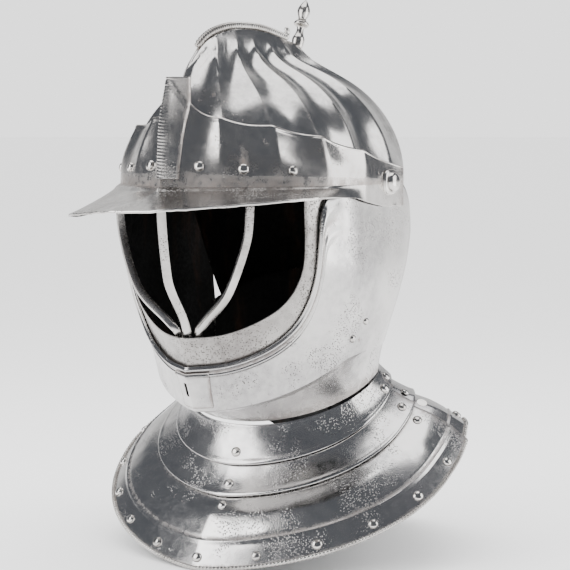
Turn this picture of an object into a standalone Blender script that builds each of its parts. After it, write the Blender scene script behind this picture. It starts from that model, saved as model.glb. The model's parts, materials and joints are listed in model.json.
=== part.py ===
"""Cuirassier helmet with a fluted skull, a lifting visor with face bars, a bevor and gorget lames.

The face looks along -Y, the wearer's left is +X, and the gorget rims stand on Z = 0.
"""

import math

import bmesh
import bpy
from mathutils import Matrix, Vector
from mathutils.bvhtree import BVHTree

# Driving sizes, in metres, and angles in degrees
WALL = 0.0018
SEAT = 0.0005
LAP = 0.0030

BROW_Z = 0.298
SKULL_HALF_WIDTH = 0.096
SKULL_FRONT = 0.104
SKULL_BACK = 0.138
SKULL_RISE = 0.092
CROWN_Y = 0.035
CROWN_HALF_LENGTH = 0.150
COMB_START_Y = -0.086
COMB_END_Y = 0.062
COMB_TIP = 0.0022
COMB_SPREAD = 0.0105
COMB_ROLL_RADIUS = 0.0028
APEX_LIFT = 0.0130
APEX_SPREAD = 0.0120
FLUTE_DEPTH = 0.0042
FRONT_SKIRT = 0.004
NAPE_SKIRT = 0.112
NAPE_DRAW = 0.150

PIVOT_Y = 0.036
PIVOT_DROP = 0.001
PIVOT_Z = BROW_Z - PIVOT_DROP
PIVOT_RADIUS = 0.0085
VISOR_CLEARANCE = 0.0066
VISOR_TOP_CLEARANCE = 0.0042
VISOR_RISE = 0.061
VISOR_END_RISE = 0.012
SCALLOP = 0.0008
PEAK_FRONT = 0.165
PEAK_HALF_WIDTH = 0.117
PEAK_DROP = 0.016
PEAK_TILT = 0.010
VISOR_KEEL = 0.012
VISOR_KEEL_SPREAD = 0.009
KEEL_PLATE_HALF = 0.0105
KEEL_PLATE_DEPTH = 0.002

FACE_SIDE_CLEARANCE = 0.0035
FACE_HALF_WIDTH = SKULL_HALF_WIDTH + FACE_SIDE_CLEARANCE
FACE_KEEL = 0.122
FACE_FULLNESS = 0.77
CHIN_HALF_WIDTH = 0.082
CHIN_KEEL = 0.080
CHIN_Z = 0.122
FRAME_INSET = 0.0027
BAR_RADIUS = 0.0034
MIDDLE_BAR_TOP_SET = -0.24
MIDDLE_BAR_FOOT_SET = 1.30
BEVOR_END = 124
CHIN_LIFT = 0.046
BORDER = 0.0022

NECK_Y = 0.045
NECK_HALF_WIDTH = 0.076
NECK_FRONT = 0.065
NECK_BACK = 0.069
NECK_Z = 0.105
NECK_TILT = 0.060
RIM_HALF_WIDTH = 0.154
RIM_FRONT = 0.129
RIM_BACK = 0.146
RIM_ARCH = 0.104
REAR_RIM_LIFT = 0.0100
COLLAR_TOP = -0.52
FRONT_END = 106
REAR_START = 96
BEVOR_FOOT_END = 100
REAR_DROP = LAP * 2
COLLAR_RISE = 0.022

RIVET_RADIUS = 0.0040
RIVET_HEIGHT = 0.0028
SMALL_RIVET_RADIUS = 0.0030
FRONT_RIVET_TURN = 99
REAR_RIVET_TURN = 114
FINIAL_HEIGHT = 0.036
FINIAL_TILT = 20
FINIAL_STAND = 0.0085

FLUTES = 16
COLUMNS_A_FLUTE = 4

# Fall of the gorget from neck to rim: way along it, share of the reach, share of the drop
GORGET_FALL = (
    (-0.52, 0.00, -0.52),
    (-0.20, 0.00, -0.20),
    (0.00, 0.00, 0.00),
    (0.08, 0.05, 0.14),
    (0.20, 0.17, 0.31),
    (0.40, 0.41, 0.50),
    (0.62, 0.64, 0.64),
    (0.84, 0.85, 0.83),
    (1.00, 1.00, 1.00),
)
# Face opening and frame: degrees round from the keel, share of the height from chin to brow
INNER_EDGE = ((0, 0.335), (14, 0.35), (28, 0.40), (41, 0.47), (50, 0.555), (56, 0.66), (59, 0.79),
              (60, 0.945))
OUTER_EDGE = ((0, 0.19), (17, 0.21), (33, 0.265), (46, 0.34), (55, 0.44), (62, 0.56), (67.5, 0.73),
              (70.5, 0.945))
# Upper edge of the bevor, which laps over the frame's outer edge
BEVOR_EDGE = (
    (0, 0.205), (17, 0.225), (33, 0.285), (45, 0.365), (53, 0.455), (60, 0.585), (65, 0.75), (68, 0.89),
    (72, 0.95), (85, 0.97), (104, 1.02), (114, 0.99), (120, 0.90), (124, 0.76),
)
# Comb above the bowl: share of its length from the front, height
COMB_PROFILE = ((0.0, 0.035), (0.13, 0.0395), (0.30, 0.0365), (0.50, 0.0305), (0.72, 0.0235), (0.90, 0.0150),
                (1.0, 0.006))
# Side bar: share of the face half width, share of the keel's reach, share of the height from chin to brow
SIDE_BAR = ((0.61, 0.81, 0.925), (0.575, 0.83, 0.756), (0.42, 0.895, 0.54), (0.185, 0.915, 0.41),
            (0.105, 0.915, 0.36), (0.10, 0.885, 0.31))


def smooth(t):
    t = min(max(t, 0.0), 1.0)
    return t * t * (3 - 2 * t)


def mix(a, b, t):
    return a + (b - a) * t


def look_up(table, key, column=1):
    """Straight-line reading of a table whose first column rises."""
    if key <= table[0][0]:
        return table[0][column]
    for low, high in zip(table, table[1:]):
        if key <= high[0]:
            return mix(low[column], high[column], (key - low[0]) / (high[0] - low[0]))
    return table[-1][column]


def plan(angle, half_width, front, back, keel, flat=0.0, full=1.0):
    """Point on a keeled oval, by degrees round from the front.

    flat keeps the sides straight that far back, and full below 1 squares the front corners.
    """
    side = math.copysign(1.0, angle)
    turn = abs(angle)
    a = math.radians(turn)
    if turn <= 90:
        power = mix(full, 1.0, smooth((turn - 60) / 30))
        y = -front * ((1 - keel) * max(0.0, math.cos(a)) ** power + keel * (1 - turn / 90))
        return side * half_width * math.sin(a) ** power, y
    y = -back * math.cos(a)
    width = half_width
    if y > flat:
        width *= math.sqrt(max(0.0, 1 - ((y - flat) / (back - flat)) ** 2))
    return side * width, y


def add_object(name, bm, colour, roughness):
    """Turns a bmesh into a named object with its own steel material."""
    bmesh.ops.remove_doubles(bm, verts=bm.verts, dist=1e-6)
    bmesh.ops.dissolve_degenerate(bm, edges=bm.edges, dist=1e-6)
    bmesh.ops.recalc_face_normals(bm, faces=bm.faces)
    mesh = bpy.data.meshes.new(name)
    bm.to_mesh(mesh)
    bm.free()
    mesh.shade_smooth()
    mesh.set_sharp_from_angle(angle=math.radians(32))
    obj = bpy.data.objects.new(name, mesh)
    bpy.context.scene.collection.objects.link(obj)
    material = bpy.data.materials.new(name + "_steel")
    material.use_nodes = True
    shader = material.node_tree.nodes["Principled BSDF"]
    shader.inputs["Base Color"].default_value = (*colour, 1)
    shader.inputs["Metallic"].default_value = 1.0
    shader.inputs["Roughness"].default_value = roughness
    obj.data.materials.append(material)
    return obj


STEEL = (0.60, 0.59, 0.58)
DARK_STEEL = (0.42, 0.41, 0.41)


def shell(name, outer, inner, ring=False, crown=False, colour=STEEL, roughness=0.3):
    """Closed wall between two grids of rows; ring joins its ends and crown leaves out the wall at the last row."""
    bm = bmesh.new()
    faces_out = [[bm.verts.new(p) for p in row] for row in outer]
    faces_in = [[bm.verts.new(p) for p in row] for row in inner]
    rows, columns = len(outer), len(outer[0])
    last = columns if ring else columns - 1
    for c in range(last):
        d = (c + 1) % columns
        for r in range(rows - 1):
            bm.faces.new((faces_out[r][c], faces_out[r][d], faces_out[r + 1][d], faces_out[r + 1][c]))
            bm.faces.new((faces_in[r][d], faces_in[r][c], faces_in[r + 1][c], faces_in[r + 1][d]))
        bm.faces.new((faces_in[0][c], faces_in[0][d], faces_out[0][d], faces_out[0][c]))
        if not crown:
            bm.faces.new((faces_out[-1][c], faces_out[-1][d], faces_in[-1][d], faces_in[-1][c]))
    if not ring:
        for r in range(rows - 1):
            for c, flip in ((0, False), (columns - 1, True)):
                corner = (faces_in[r][c], faces_out[r][c], faces_out[r + 1][c], faces_in[r + 1][c])
                bm.faces.new(corner[::-1] if flip else corner)
    return add_object(name, bm, colour, roughness)


def turned(name, profile, origin, direction, sides, colour=STEEL, roughness=0.25):
    """Closed turned piece: profile of (radius, height) from a flat base to a tip."""
    bm = bmesh.new()
    axis = Vector(direction).normalized()
    u = axis.orthogonal().normalized()
    v = axis.cross(u)
    origin = Vector(origin)
    rings = []
    for radius, height in profile[:-1]:
        ring = []
        for k in range(sides):
            a = 2 * math.pi * k / sides
            ring.append(bm.verts.new(origin + axis * height + (u * math.cos(a) + v * math.sin(a)) * radius))
        rings.append(ring)
    bm.faces.new(rings[0][::-1])
    for low, high in zip(rings, rings[1:]):
        for k in range(sides):
            m = (k + 1) % sides
            bm.faces.new((low[k], low[m], high[m], high[k]))
    tip = bm.verts.new(origin + axis * profile[-1][1])
    for k in range(sides):
        bm.faces.new((rings[-1][k], rings[-1][(k + 1) % sides], tip))
    return add_object(name, bm, colour, roughness)


def swept(name, path, half_wide, half_high, sides, colour=STEEL):
    """Closed rod along a path, with an oval section whose wide side stays level."""
    bm = bmesh.new()
    points = [Vector(p) for p in path]
    rings = []
    for i, p in enumerate(points):
        along = (points[min(i + 1, len(points) - 1)] - points[max(i - 1, 0)]).normalized()
        across = Vector((1, 0, 0)) - along * along.x
        across.normalize()
        up = along.cross(across)
        rings.append([
            bm.verts.new(p + across * half_wide * math.cos(2 * math.pi * k / sides)
                         + up * half_high * math.sin(2 * math.pi * k / sides))
            for k in range(sides)
        ])
    bm.faces.new(rings[0][::-1])
    bm.faces.new(rings[-1])
    for low, high in zip(rings, rings[1:]):
        for k in range(sides):
            m = (k + 1) % sides
            bm.faces.new((low[k], low[m], high[m], high[k]))
    return add_object(name, bm, colour, 0.3)


def rivet(name, plate, start, aim, radius=RIVET_RADIUS, height=RIVET_HEIGHT):
    """Domed head seated on the face of a plate that a ray from start along aim meets first."""
    spot, normal, _, _ = face_tree(plate).ray_cast(Vector(start), Vector(aim).normalized())
    if normal.dot(Vector(aim)) > 0:
        normal = -normal
    dome = [(radius, 0), (radius * 0.94, height * 0.42), (radius * 0.62, height * 0.84), (0, height)]
    return turned(name, dome, spot + normal * SEAT, normal, 8)


def crown_line(y):
    """Height of the bowl above the brow line, along the middle plane."""
    return SKULL_RISE * math.sqrt(max(0.0, 1 - ((y - CROWN_Y) / CROWN_HALF_LENGTH) ** 2))


def comb_rise(y):
    share = (y - COMB_START_Y) / (COMB_END_Y - COMB_START_Y)
    return look_up(COMB_PROFILE, share)


def apex_rise(x, y):
    """Small bell-shaped rise of the bowl to the foot of the finial."""
    return APEX_LIFT * math.exp(-math.hypot(x, y - COMB_END_Y) / APEX_SPREAD)


def comb_y(angle):
    return mix(COMB_START_Y, COMB_END_Y, min(1.0, (abs(angle) / 150) ** 0.8))


def flute(angle):
    """Depth of the hollow between two ridges, 0 on a ridge and 1 half way."""
    return math.sin(math.pi * ((angle * FLUTES / 360) % 1.0))


def skull_point(angle, level, grow=0.0, inside=0.0):
    """Point of the bowl; level runs from 1 at the brow to 0 at the comb, grow moves the surface outwards."""
    x, y = plan(angle, SKULL_HALF_WIDTH + grow - inside, SKULL_FRONT + grow - inside,
                SKULL_BACK + grow - inside, 0.12, flat=PIVOT_Y + 0.016)
    top_y = comb_y(angle)
    x *= level
    y = mix(top_y, y, level)
    rise = crown_line(top_y) + grow - inside
    z = BROW_Z + rise * math.sqrt(1 - level * level)
    share = 0.72 if inside else 1.0
    away = max(0.0, abs(x) + inside - COMB_TIP)
    lift = comb_rise(top_y) * share * math.exp(-away / COMB_SPREAD)
    z += lift * (1 - level) ** 0.25 + apex_rise(x, y)
    sink = FLUTE_DEPTH * flute(angle) * min(1.0, 1.7 * level) * (0.2 + 0.8 * smooth((z - BROW_Z) / 0.03))
    centre = Vector((0, CROWN_Y * 0.5, BROW_Z))
    point = Vector((x, y, z))
    reach = (point - centre).length
    return centre + (point - centre) * (1 - sink / reach)


def skirt_point(angle, share, inside=0.0):
    """Point of the skull's wall below the brow line; share runs from 0 at the brow to 1 at the lower edge."""
    length = FRONT_SKIRT + (NAPE_SKIRT - FRONT_SKIRT) * smooth((abs(angle) - 102) / 28)
    base = skull_point(angle, 1.0, 0.0, inside)
    draw = 1 - NAPE_DRAW * share ** 2 * length / NAPE_SKIRT
    return Vector((base.x * draw, base.y * draw, BROW_Z - length * share))


def build_skull():
    columns = FLUTES * COLUMNS_A_FLUTE
    angles = [-180 + 360 * c / columns for c in range(columns)]
    skirt = (1.0, 0.5)
    levels = (1.0, 0.95, 0.84, 0.69, 0.53, 0.38, 0.26, 0.16, 0.09, 0.04, 0.0)
    grids = []
    for inside in (0.0, WALL):
        rows = [[skirt_point(a, s, inside) for a in angles] for s in skirt]
        rows += [[skull_point(a, k, 0.0, inside) for a in angles] for k in levels]
        grids.append(rows)
    return shell("skull", *grids, ring=True, crown=True)


def build_comb_roll():
    """Rolled edge along the comb, curled up at its back end."""
    step = 360 / FLUTES / COLUMNS_A_FLUTE
    stations = [comb_y(step * k) for k in range(1, int(134 / step) + 1)]
    path = [Vector((0, y, BROW_Z + crown_line(y) + comb_rise(y) + apex_rise(0, y))) for y in stations]
    steps = len(path) - 1
    raised = []
    for i, p in enumerate(path):
        along = (path[min(i + 1, steps)] - path[max(i - 1, 0)]).normalized()
        raised.append(p + Vector((0, -along.z, along.y)) * (COMB_ROLL_RADIUS + SEAT + 0.0004))
    end = raised[-1]
    raised.append(end + Vector((0, 0.002, 0.003)))
    raised.append(end + Vector((0, 0.0015, 0.009)))
    return swept("comb_roll", raised, COMB_ROLL_RADIUS * 1.1, COMB_ROLL_RADIUS, 8)


def build_finial():
    profile = [(0.0046, 0.0), (0.0048, 0.06), (0.0040, 0.14), (0.0030, 0.30), (0.0052, 0.38), (0.0058, 0.46),
               (0.0034, 0.54), (0.0046, 0.64), (0.0050, 0.74), (0.0036, 0.86), (0.0016, 0.95), (0.0, 1.0)]
    tilt = math.radians(FINIAL_TILT)
    axis = Vector((0, math.sin(tilt), math.cos(tilt)))
    foot = Vector((0, COMB_END_Y, BROW_Z + crown_line(COMB_END_Y) + APEX_LIFT)) + axis * FINIAL_STAND
    scaled = [(radius, share * FINIAL_HEIGHT) for radius, share in profile]
    return turned("finial", scaled, foot, axis, 12)


def visor_top(angle):
    """Level of the visor's scalloped upper edge."""
    share = abs(angle) / 112
    rise = VISOR_END_RISE + VISOR_RISE * max(0.0, 1 - share ** 1.5)
    rise -= SCALLOP * flute(angle)
    whole = crown_line(comb_y(angle)) + comb_rise(comb_y(angle))
    return min(0.95, rise / whole)


def visor_point(angle, height, inside):
    """Point of the visor; height runs from 0 at the brow to 1 at its upper edge."""
    sine = visor_top(angle) * height
    level = math.sqrt(1 - sine * sine)
    hug = smooth((height - 0.3) / 0.7) * smooth((95 - abs(angle)) / 25)
    clearance = mix(VISOR_CLEARANCE, VISOR_TOP_CLEARANCE, hug)
    spot = skull_point(angle, level, clearance + WALL - inside)
    spot.y -= VISOR_KEEL * math.exp(-abs(spot.x) / VISOR_KEEL_SPREAD)
    return spot


def peak_point(angle, share, inside):
    """Point of the peak; share runs from 0 at the brow to 1 at its outer edge."""
    root = visor_point(angle, 0.0, 0.0)
    edge_x, edge_y = plan(angle, PEAK_HALF_WIDTH, PEAK_FRONT, SKULL_BACK, 0.18)
    turn = min(abs(angle), 90.0)
    if turn < 90:
        a = math.radians(turn)
        edge_x = math.copysign(PEAK_HALF_WIDTH * math.sin(a) ** 0.72, angle)
        edge_y = -PEAK_FRONT * (0.82 * math.cos(a) ** 0.75 + 0.18 * (1 - turn / 90))
    grow = 1 - smooth((abs(angle) - 62) / 26)
    tilt = PEAK_TILT * math.sin(math.radians(min(max(angle, -90), 90)))
    out_x = mix(root.x, edge_x, share * grow)
    out_y = mix(root.y, edge_y, share * grow)
    drop = mix(0.010 + 0.008 * smooth((abs(angle) - 80) / 25), PEAK_DROP - tilt, grow) * share ** 0.8
    lift = inside * (0.2 + 0.8 * smooth(share * 3) * grow)
    draw = inside * (1 - smooth(share * 3) * grow)
    flat = Vector((out_x, out_y, 0))
    flat *= 1 - draw / max(flat.length, 1e-6)
    return Vector((flat.x, flat.y, root.z - 0.002 - drop - lift * grow))


def build_visor():
    step = 360 / FLUTES / COLUMNS_A_FLUTE
    count = int(113 / step)
    angles = [step * c for c in range(-count, count + 1)]
    peak_rows = (1.0, 0.6, 0.25, 0.0)
    heights = (0.14, 0.32, 0.55, 0.78, 1.0)
    grids = []
    for inside in (0.0, WALL):
        rows = [[peak_point(a, s, inside) for a in angles] for s in peak_rows]
        rows += [[visor_point(a, h, inside) for a in angles] for h in heights]
        grids.append(rows)
    return shell("visor", *grids)


def face_tree(plate):
    mesh = plate.data
    return BVHTree.FromPolygons([v.co for v in mesh.vertices], [tuple(f.vertices) for f in mesh.polygons])


def build_keel_plate(visor):
    """Upright folded plate over the middle of the visor, up to the comb."""
    tree = face_tree(visor)
    outer, inner = [], []
    top = visor_point(0.0, 1.0, 0.0).z
    last = {}
    for share in (0.0, 0.17, 0.34, 0.51, 0.68, 0.85, 1.0):
        z = mix(BROW_Z + 0.004, top + 0.002, share)
        out_row, in_row = [], []
        for k in (-1.0, -0.5, 0.0, 0.5, 1.0):
            x = k * KEEL_PLATE_HALF
            hit = tree.ray_cast(Vector((x, -PEAK_FRONT * 2, z)), Vector((0, 1, 0)))[0]
            if hit is not None and (k not in last or hit.y < last[k] + 0.02):
                last[k] = hit.y
            bend = KEEL_PLATE_DEPTH * (1 - abs(k)) * mix(0.55, 1.0, share)
            point = Vector((x, last[k] - SEAT - WALL - 0.0004 - bend, z))
            out_row.append(point)
            in_row.append(point + Vector((0, WALL, 0)))
        outer.append(out_row)
        inner.append(in_row)
    return shell("keel_plate", outer, inner)


def face_plan(angle, height, grow):
    """Point of the face surface; height runs from 0 at the chin to 1 at the brow."""
    up = smooth(height)
    full = min(1.0, height * 1.45)
    width = mix(CHIN_HALF_WIDTH, FACE_HALF_WIDTH, smooth(full)) + grow
    front = mix(CHIN_KEEL, FACE_KEEL, math.sin(height * math.pi / 2)) + grow
    back = mix(0.112, 0.152, up) + grow
    keel = mix(0.92, 0.30, smooth((height - 0.25) / 0.7))
    square = mix(1.0, FACE_FULLNESS, smooth(height / 0.5))
    x, y = plan(angle, width, front, back, keel, flat=mix(0.03, PIVOT_Y + 0.03, up), full=square)
    return Vector((x, y, mix(CHIN_Z, BROW_Z, height)))


def build_face_frame():
    """Flat rim of the face opening, hung inside the bevor's edge."""
    shares = [k / 14 for k in range(-14, 15)]
    grids = []
    for inside in (0.0, WALL):
        rows = []
        for across in (0.0, 0.33, 0.67, 1.0):
            row = []
            for s in shares:
                spot = abs(s) * (len(INNER_EDGE) - 1)
                low = min(int(spot), len(INNER_EDGE) - 2)
                part = spot - low
                angle_in, height_in = (mix(INNER_EDGE[low][c], INNER_EDGE[low + 1][c], part) for c in (0, 1))
                angle_out, height_out = (mix(OUTER_EDGE[low][c], OUTER_EDGE[low + 1][c], part) for c in (0, 1))
                angle = math.copysign(mix(angle_out, angle_in, across), s)
                row.append(face_plan(angle, mix(height_out, height_in, across), -FRAME_INSET - inside))
            rows.append(row)
        grids.append(rows)
    return shell("face_frame", *grids, colour=DARK_STEEL)


def build_bars():
    bars = []
    frame_depth = FRAME_INSET + WALL + BAR_RADIUS + SEAT
    for side, name in ((1, "bar_left"), (-1, "bar_right")):
        path = []
        for i in range(11):
            spot = i / 10 * (len(SIDE_BAR) - 1)
            low = min(int(spot), len(SIDE_BAR) - 2)
            wide, reach, height = (mix(SIDE_BAR[low][c], SIDE_BAR[low + 1][c], spot - low) for c in (0, 1, 2))
            z = mix(CHIN_Z, BROW_Z, height)
            x = wide * FACE_HALF_WIDTH
            front = face_plan(0.0, height, 0.0).y
            path.append(Vector((side * x, front * reach + frame_depth * 0.4, z)))
        bars.append(swept(name, path, BAR_RADIUS, BAR_RADIUS, 8))
    middle = []
    for i in range(9):
        height = mix(0.925, 0.29, i / 8)
        spot = face_plan(0.0, height, 0.0)
        set_back = frame_depth * mix(MIDDLE_BAR_TOP_SET, MIDDLE_BAR_FOOT_SET, smooth((i - 4) / 3))
        middle.append(Vector((0, spot.y + set_back, spot.z)))
    bars.append(swept("bar_middle", middle, BAR_RADIUS * 1.15, BAR_RADIUS, 8))
    return bars


def bevor_point(angle, share, inside):
    """Point of the bevor; share runs from 0 at its upper edge to 1 at the neck."""
    top = look_up(BEVOR_EDGE, abs(angle))
    neck_turn = angle * BEVOR_FOOT_END / BEVOR_END
    foot = gorget_point(neck_turn, -0.022, LAP * 2 - inside)
    tall = BROW_Z - CHIN_Z
    chin_z = CHIN_Z + CHIN_LIFT * smooth(abs(angle) / BEVOR_END)
    chin = face_plan(angle, (chin_z - CHIN_Z) / tall, -inside)
    bend = 0.70
    if share <= bend:
        part = share / bend
        z = mix(mix(CHIN_Z, BROW_Z, top), chin_z, part)
        spot = face_plan(angle, (z - CHIN_Z) / tall, -inside)
        border = BORDER * math.exp(-((share / 0.06 - 1) ** 2)) * smooth((80 - abs(angle)) / 12)
        out = Vector((spot.x, spot.y, 0)).normalized() * border
        return Vector((spot.x + out.x, spot.y + out.y, z))
    part = (share - bend) / (1 - bend)
    inwards = part ** 0.75
    return Vector((mix(chin.x, foot.x, inwards), mix(chin.y, foot.y, inwards), mix(chin.z, foot.z, part ** 1.3)))


def build_bevor():
    angles = [BEVOR_END * k / 20 for k in range(-20, 21)]
    shares = (1.0, 0.90, 0.80, 0.70, 0.52, 0.34, 0.16, 0.06, 0.0)
    grids = [[[bevor_point(a, s, inside) for a in angles] for s in shares] for inside in (0.0, WALL)]
    return shell("bevor", *grids)


def build_chin_plate():
    """Folded plate over the bevor's keel that takes the visor's catch."""
    outer, inner = [], []
    for share in (0.10, 0.28, 0.46, 0.64):
        out_row, in_row = [], []
        for k in (-1.0, -0.5, 0.0, 0.5, 1.0):
            spot = bevor_point(k * 9.0, share, 0.0)
            out = Vector((k * 0.4, -1, 0)).normalized()
            in_row.append(spot + out * (SEAT + 0.0003))
            out_row.append(spot + out * (SEAT + 0.0003 + WALL * 0.7))
        outer.append(out_row)
        inner.append(in_row)
    return shell("chin_plate", outer[::-1], inner[::-1])


def rim_height(angle):
    """Height of the gorget's rim, arched over each shoulder and down to a point at the back."""
    turn = abs(angle)
    if turn <= 114:
        return RIM_ARCH * (turn / 114) ** 1.7
    return mix(RIM_ARCH, REAR_RIM_LIFT, (max(0.0, turn - 126) / 54) ** 1.25)


def gorget_base(angle, way):
    neck_x, neck_y = plan(angle, NECK_HALF_WIDTH, NECK_FRONT, NECK_BACK, 0.0)
    rim_x, rim_y = plan(angle, RIM_HALF_WIDTH, RIM_FRONT, RIM_BACK, 0.30)
    out = look_up(GORGET_FALL, way, 1)
    down = look_up(GORGET_FALL, way, 2)
    neck_z = NECK_Z + NECK_TILT * (1 - math.cos(math.radians(angle))) / 2
    if way < 0:
        z = neck_z + COLLAR_RISE * (-down) / 0.20
    else:
        z = mix(neck_z, rim_height(angle), down)
    return Vector((mix(neck_x, rim_x, out), NECK_Y + mix(neck_y, rim_y, out), z))


def gorget_point(angle, way, grow):
    """Point of the gorget's surface, moved grow along its outward normal."""
    spot = gorget_base(angle, way)
    along = gorget_base(angle, min(way + 0.07, 1.0)) - gorget_base(angle, max(way - 0.07, COLLAR_TOP))
    radial = Vector((spot.x, spot.y - NECK_Y, 0)).normalized()
    run = Vector((along.dot(radial), along.z))
    run.normalize()
    return spot + (radial * -run[1] + Vector((0, 0, run[0]))) * grow


def build_lame(name, start, end, top, bottom, layer, rows, columns, colour=STEEL):
    angles = [mix(start, end, k / columns) for k in range(columns + 1)]
    ways = [mix(bottom, top, r / rows) for r in range(rows + 1)]
    grids = [[[gorget_point(wrap(a), w, layer - inside) for a in angles] for w in ways] for inside in (0.0, WALL)]
    return shell(name, *grids, colour=colour)


def wrap(angle):
    return angle - 360 if angle > 180 else angle


def build_gorget():
    front, rear = {}, {}
    spans = (("lame_1", 0.0, 0.20, 2, 3), ("lame_2", 0.16, 0.42, 1, 2), ("plate", 0.37, 1.0, 0, 5))
    for name, top, bottom, layer, rows in spans:
        front[name] = build_lame("front_" + name, -FRONT_END, FRONT_END, top, bottom, LAP * layer, rows, 26)
    rear_spans = (("lame_1", COLLAR_TOP, 0.20, 2, 4), ("lame_2", 0.17, 0.42, 1, 3), ("plate", 0.37, 1.0, 0, 5))
    for name, top, bottom, layer, rows in rear_spans:
        rear[name] = build_lame("rear_" + name, REAR_START, 360 - REAR_START, top, bottom,
                                LAP * layer - REAR_DROP, rows, 22)
    return front, rear


def seat_on_gorget(name, plate, angle, way):
    """Rivet on a gorget plate."""
    spot = gorget_point(wrap(angle), way, 0.02)
    foot = gorget_point(wrap(angle), way, 0.0)
    return rivet(name, plate, spot, foot - spot)


def add_rivets(visor, bevor, front, rear):
    for k, angle in enumerate((13, 31, 51)):
        for side, word in ((1, "left"), (-1, "right")):
            spot = visor_point(side * angle, 0.24, 0.0)
            away = Vector((spot.x, spot.y, 0)).normalized()
            rivet(f"brow_rivet_{word}_{k + 1}", visor, spot + away * 0.02, -away)
    for side, word in ((1, "left"), (-1, "right")):
        for k, (angle, share) in enumerate(((92, 0.62), (99, 0.57))):
            spot = bevor_point(side * angle, share, 0.0)
            away = Vector((spot.x, spot.y * 0.3, 0)).normalized()
            rivet(f"cheek_rivet_{word}_{k + 1}", bevor, spot + away * 0.02, -away, SMALL_RIVET_RADIUS)
    rim_count = 5
    for k in range(-rim_count, rim_count + 1):
        seat_on_gorget(f"front_rim_rivet_{k + rim_count + 1}", front["plate"], k * 18.5, 0.92)
    for k, (name, way) in enumerate((("lame_1", 0.13), ("lame_2", 0.33), ("plate", 0.50))):
        seat_on_gorget(f"front_rivet_{k + 1}", front[name], 2.5, way)
        for side, word in ((1, "left"), (-1, "right")):
            seat_on_gorget(f"front_side_rivet_{word}_{k + 1}", front[name], side * FRONT_RIVET_TURN, way)
            seat_on_gorget(f"rear_side_rivet_{word}_{k + 1}", rear[name], side * REAR_RIVET_TURN % 360, way)
    for k in range(-2, 3):
        seat_on_gorget(f"rear_rim_rivet_{k + 3}", rear["plate"], 180 + k * 30 + 4, 0.90)


def add_pivots(visor):
    for side, word in ((1, "left"), (-1, "right")):
        start = Vector((side * SKULL_HALF_WIDTH * 1.5, PIVOT_Y, PIVOT_Z))
        spot = face_tree(visor).ray_cast(start, Vector((-side, 0, 0)))[0]
        profile = [(PIVOT_RADIUS * 1.25, 0), (PIVOT_RADIUS * 1.2, 0.0016), (PIVOT_RADIUS, 0.0020),
                   (PIVOT_RADIUS * 0.9, 0.0040), (PIVOT_RADIUS * 0.55, 0.0060), (0, 0.0066)]
        turned(f"pivot_{word}", profile, spot + Vector((side * (SEAT + 0.0003), 0, 0)), (side, 0, 0), 16)


def stand_and_centre():
    """Moves the whole helmet so that its rims stand on Z = 0 with the box centred over the origin."""
    pieces = [o for o in bpy.data.objects if o.type == "MESH"]
    points = [v.co for o in pieces for v in o.data.vertices]
    low = Vector([min(p[k] for p in points) for k in range(3)])
    high = Vector([max(p[k] for p in points) for k in range(3)])
    shift = Vector((-(low.x + high.x) / 2, -(low.y + high.y) / 2, -low.z))
    for obj in pieces:
        obj.data.transform(Matrix.Translation(shift))
    return shift


def main():
    for obj in list(bpy.data.objects):
        bpy.data.objects.remove(obj, do_unlink=True)
    build_skull()
    build_comb_roll()
    build_finial()
    visor = build_visor()
    build_keel_plate(visor)
    build_face_frame()
    build_bars()
    bevor = build_bevor()
    build_chin_plate()
    front, rear = build_gorget()
    add_rivets(visor, bevor, front, rear)
    add_pivots(visor)
    return stand_and_centre()


SHIFT = main()
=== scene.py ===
"""Looks of the cuirassier helmet: fluted skull, roped comb, visor with face bars, bevor and gorget."""

import json
import math

import bpy
from bpy.props import FloatProperty, FloatVectorProperty, PointerProperty
from mathutils import Matrix, Vector, noise
from mathutils.bvhtree import BVHTree


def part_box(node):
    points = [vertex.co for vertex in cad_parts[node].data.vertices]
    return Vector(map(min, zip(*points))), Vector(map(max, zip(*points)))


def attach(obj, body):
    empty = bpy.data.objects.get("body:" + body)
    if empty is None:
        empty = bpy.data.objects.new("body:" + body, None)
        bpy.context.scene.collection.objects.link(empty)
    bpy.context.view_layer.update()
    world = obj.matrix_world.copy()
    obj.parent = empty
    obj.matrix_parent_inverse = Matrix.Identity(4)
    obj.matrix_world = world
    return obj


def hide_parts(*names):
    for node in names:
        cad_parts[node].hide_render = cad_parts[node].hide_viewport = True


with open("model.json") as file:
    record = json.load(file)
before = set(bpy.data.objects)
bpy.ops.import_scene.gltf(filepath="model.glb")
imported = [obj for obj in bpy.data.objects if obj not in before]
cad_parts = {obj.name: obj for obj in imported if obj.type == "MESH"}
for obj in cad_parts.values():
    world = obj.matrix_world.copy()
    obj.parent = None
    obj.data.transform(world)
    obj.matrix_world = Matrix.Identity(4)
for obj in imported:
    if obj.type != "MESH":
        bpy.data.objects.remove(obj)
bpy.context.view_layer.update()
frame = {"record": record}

bl_info = {
    "name": "Cuirassier Helmet",
    "version": (1, 0, 0),
    "blender": (4, 5, 0),
    "location": "View3D > Sidebar > Helmet",
    "description": "Builds the plates, roped edges, rivets and studio of a cuirassier helmet",
    "category": "Object",
}

# Bottoms of old pits, and the brown left by rust, which is also used to paint shade into creases, overlaps
# and plate edges
PIT_COLOUR, RUST_AND_SHADE_COLOUR = "4A4643", "5B4232"
# Floor of the studio in metres, and the camera's sensor in millimetres
PAPER_RADIUS, SENSOR_WIDTH = 30.0, 36.0
# Corners this close are one
TOUCHING = 1e-6
# Gap between a seated piece and the plate that it sits on
SEAT = 0.0005
# How far the foot of a rivet head or a pivot bolt lies in its plate
RIVET_SINK, BOLT_SINK = 0.0002, 0.0006
# Width of the eased edge of a plate
EASE = 0.0004
# A pattern's values between two limits become a soft-edged share
SOFT_EDGE = {"interpolation_type": "SMOOTHSTEP"}

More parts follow.
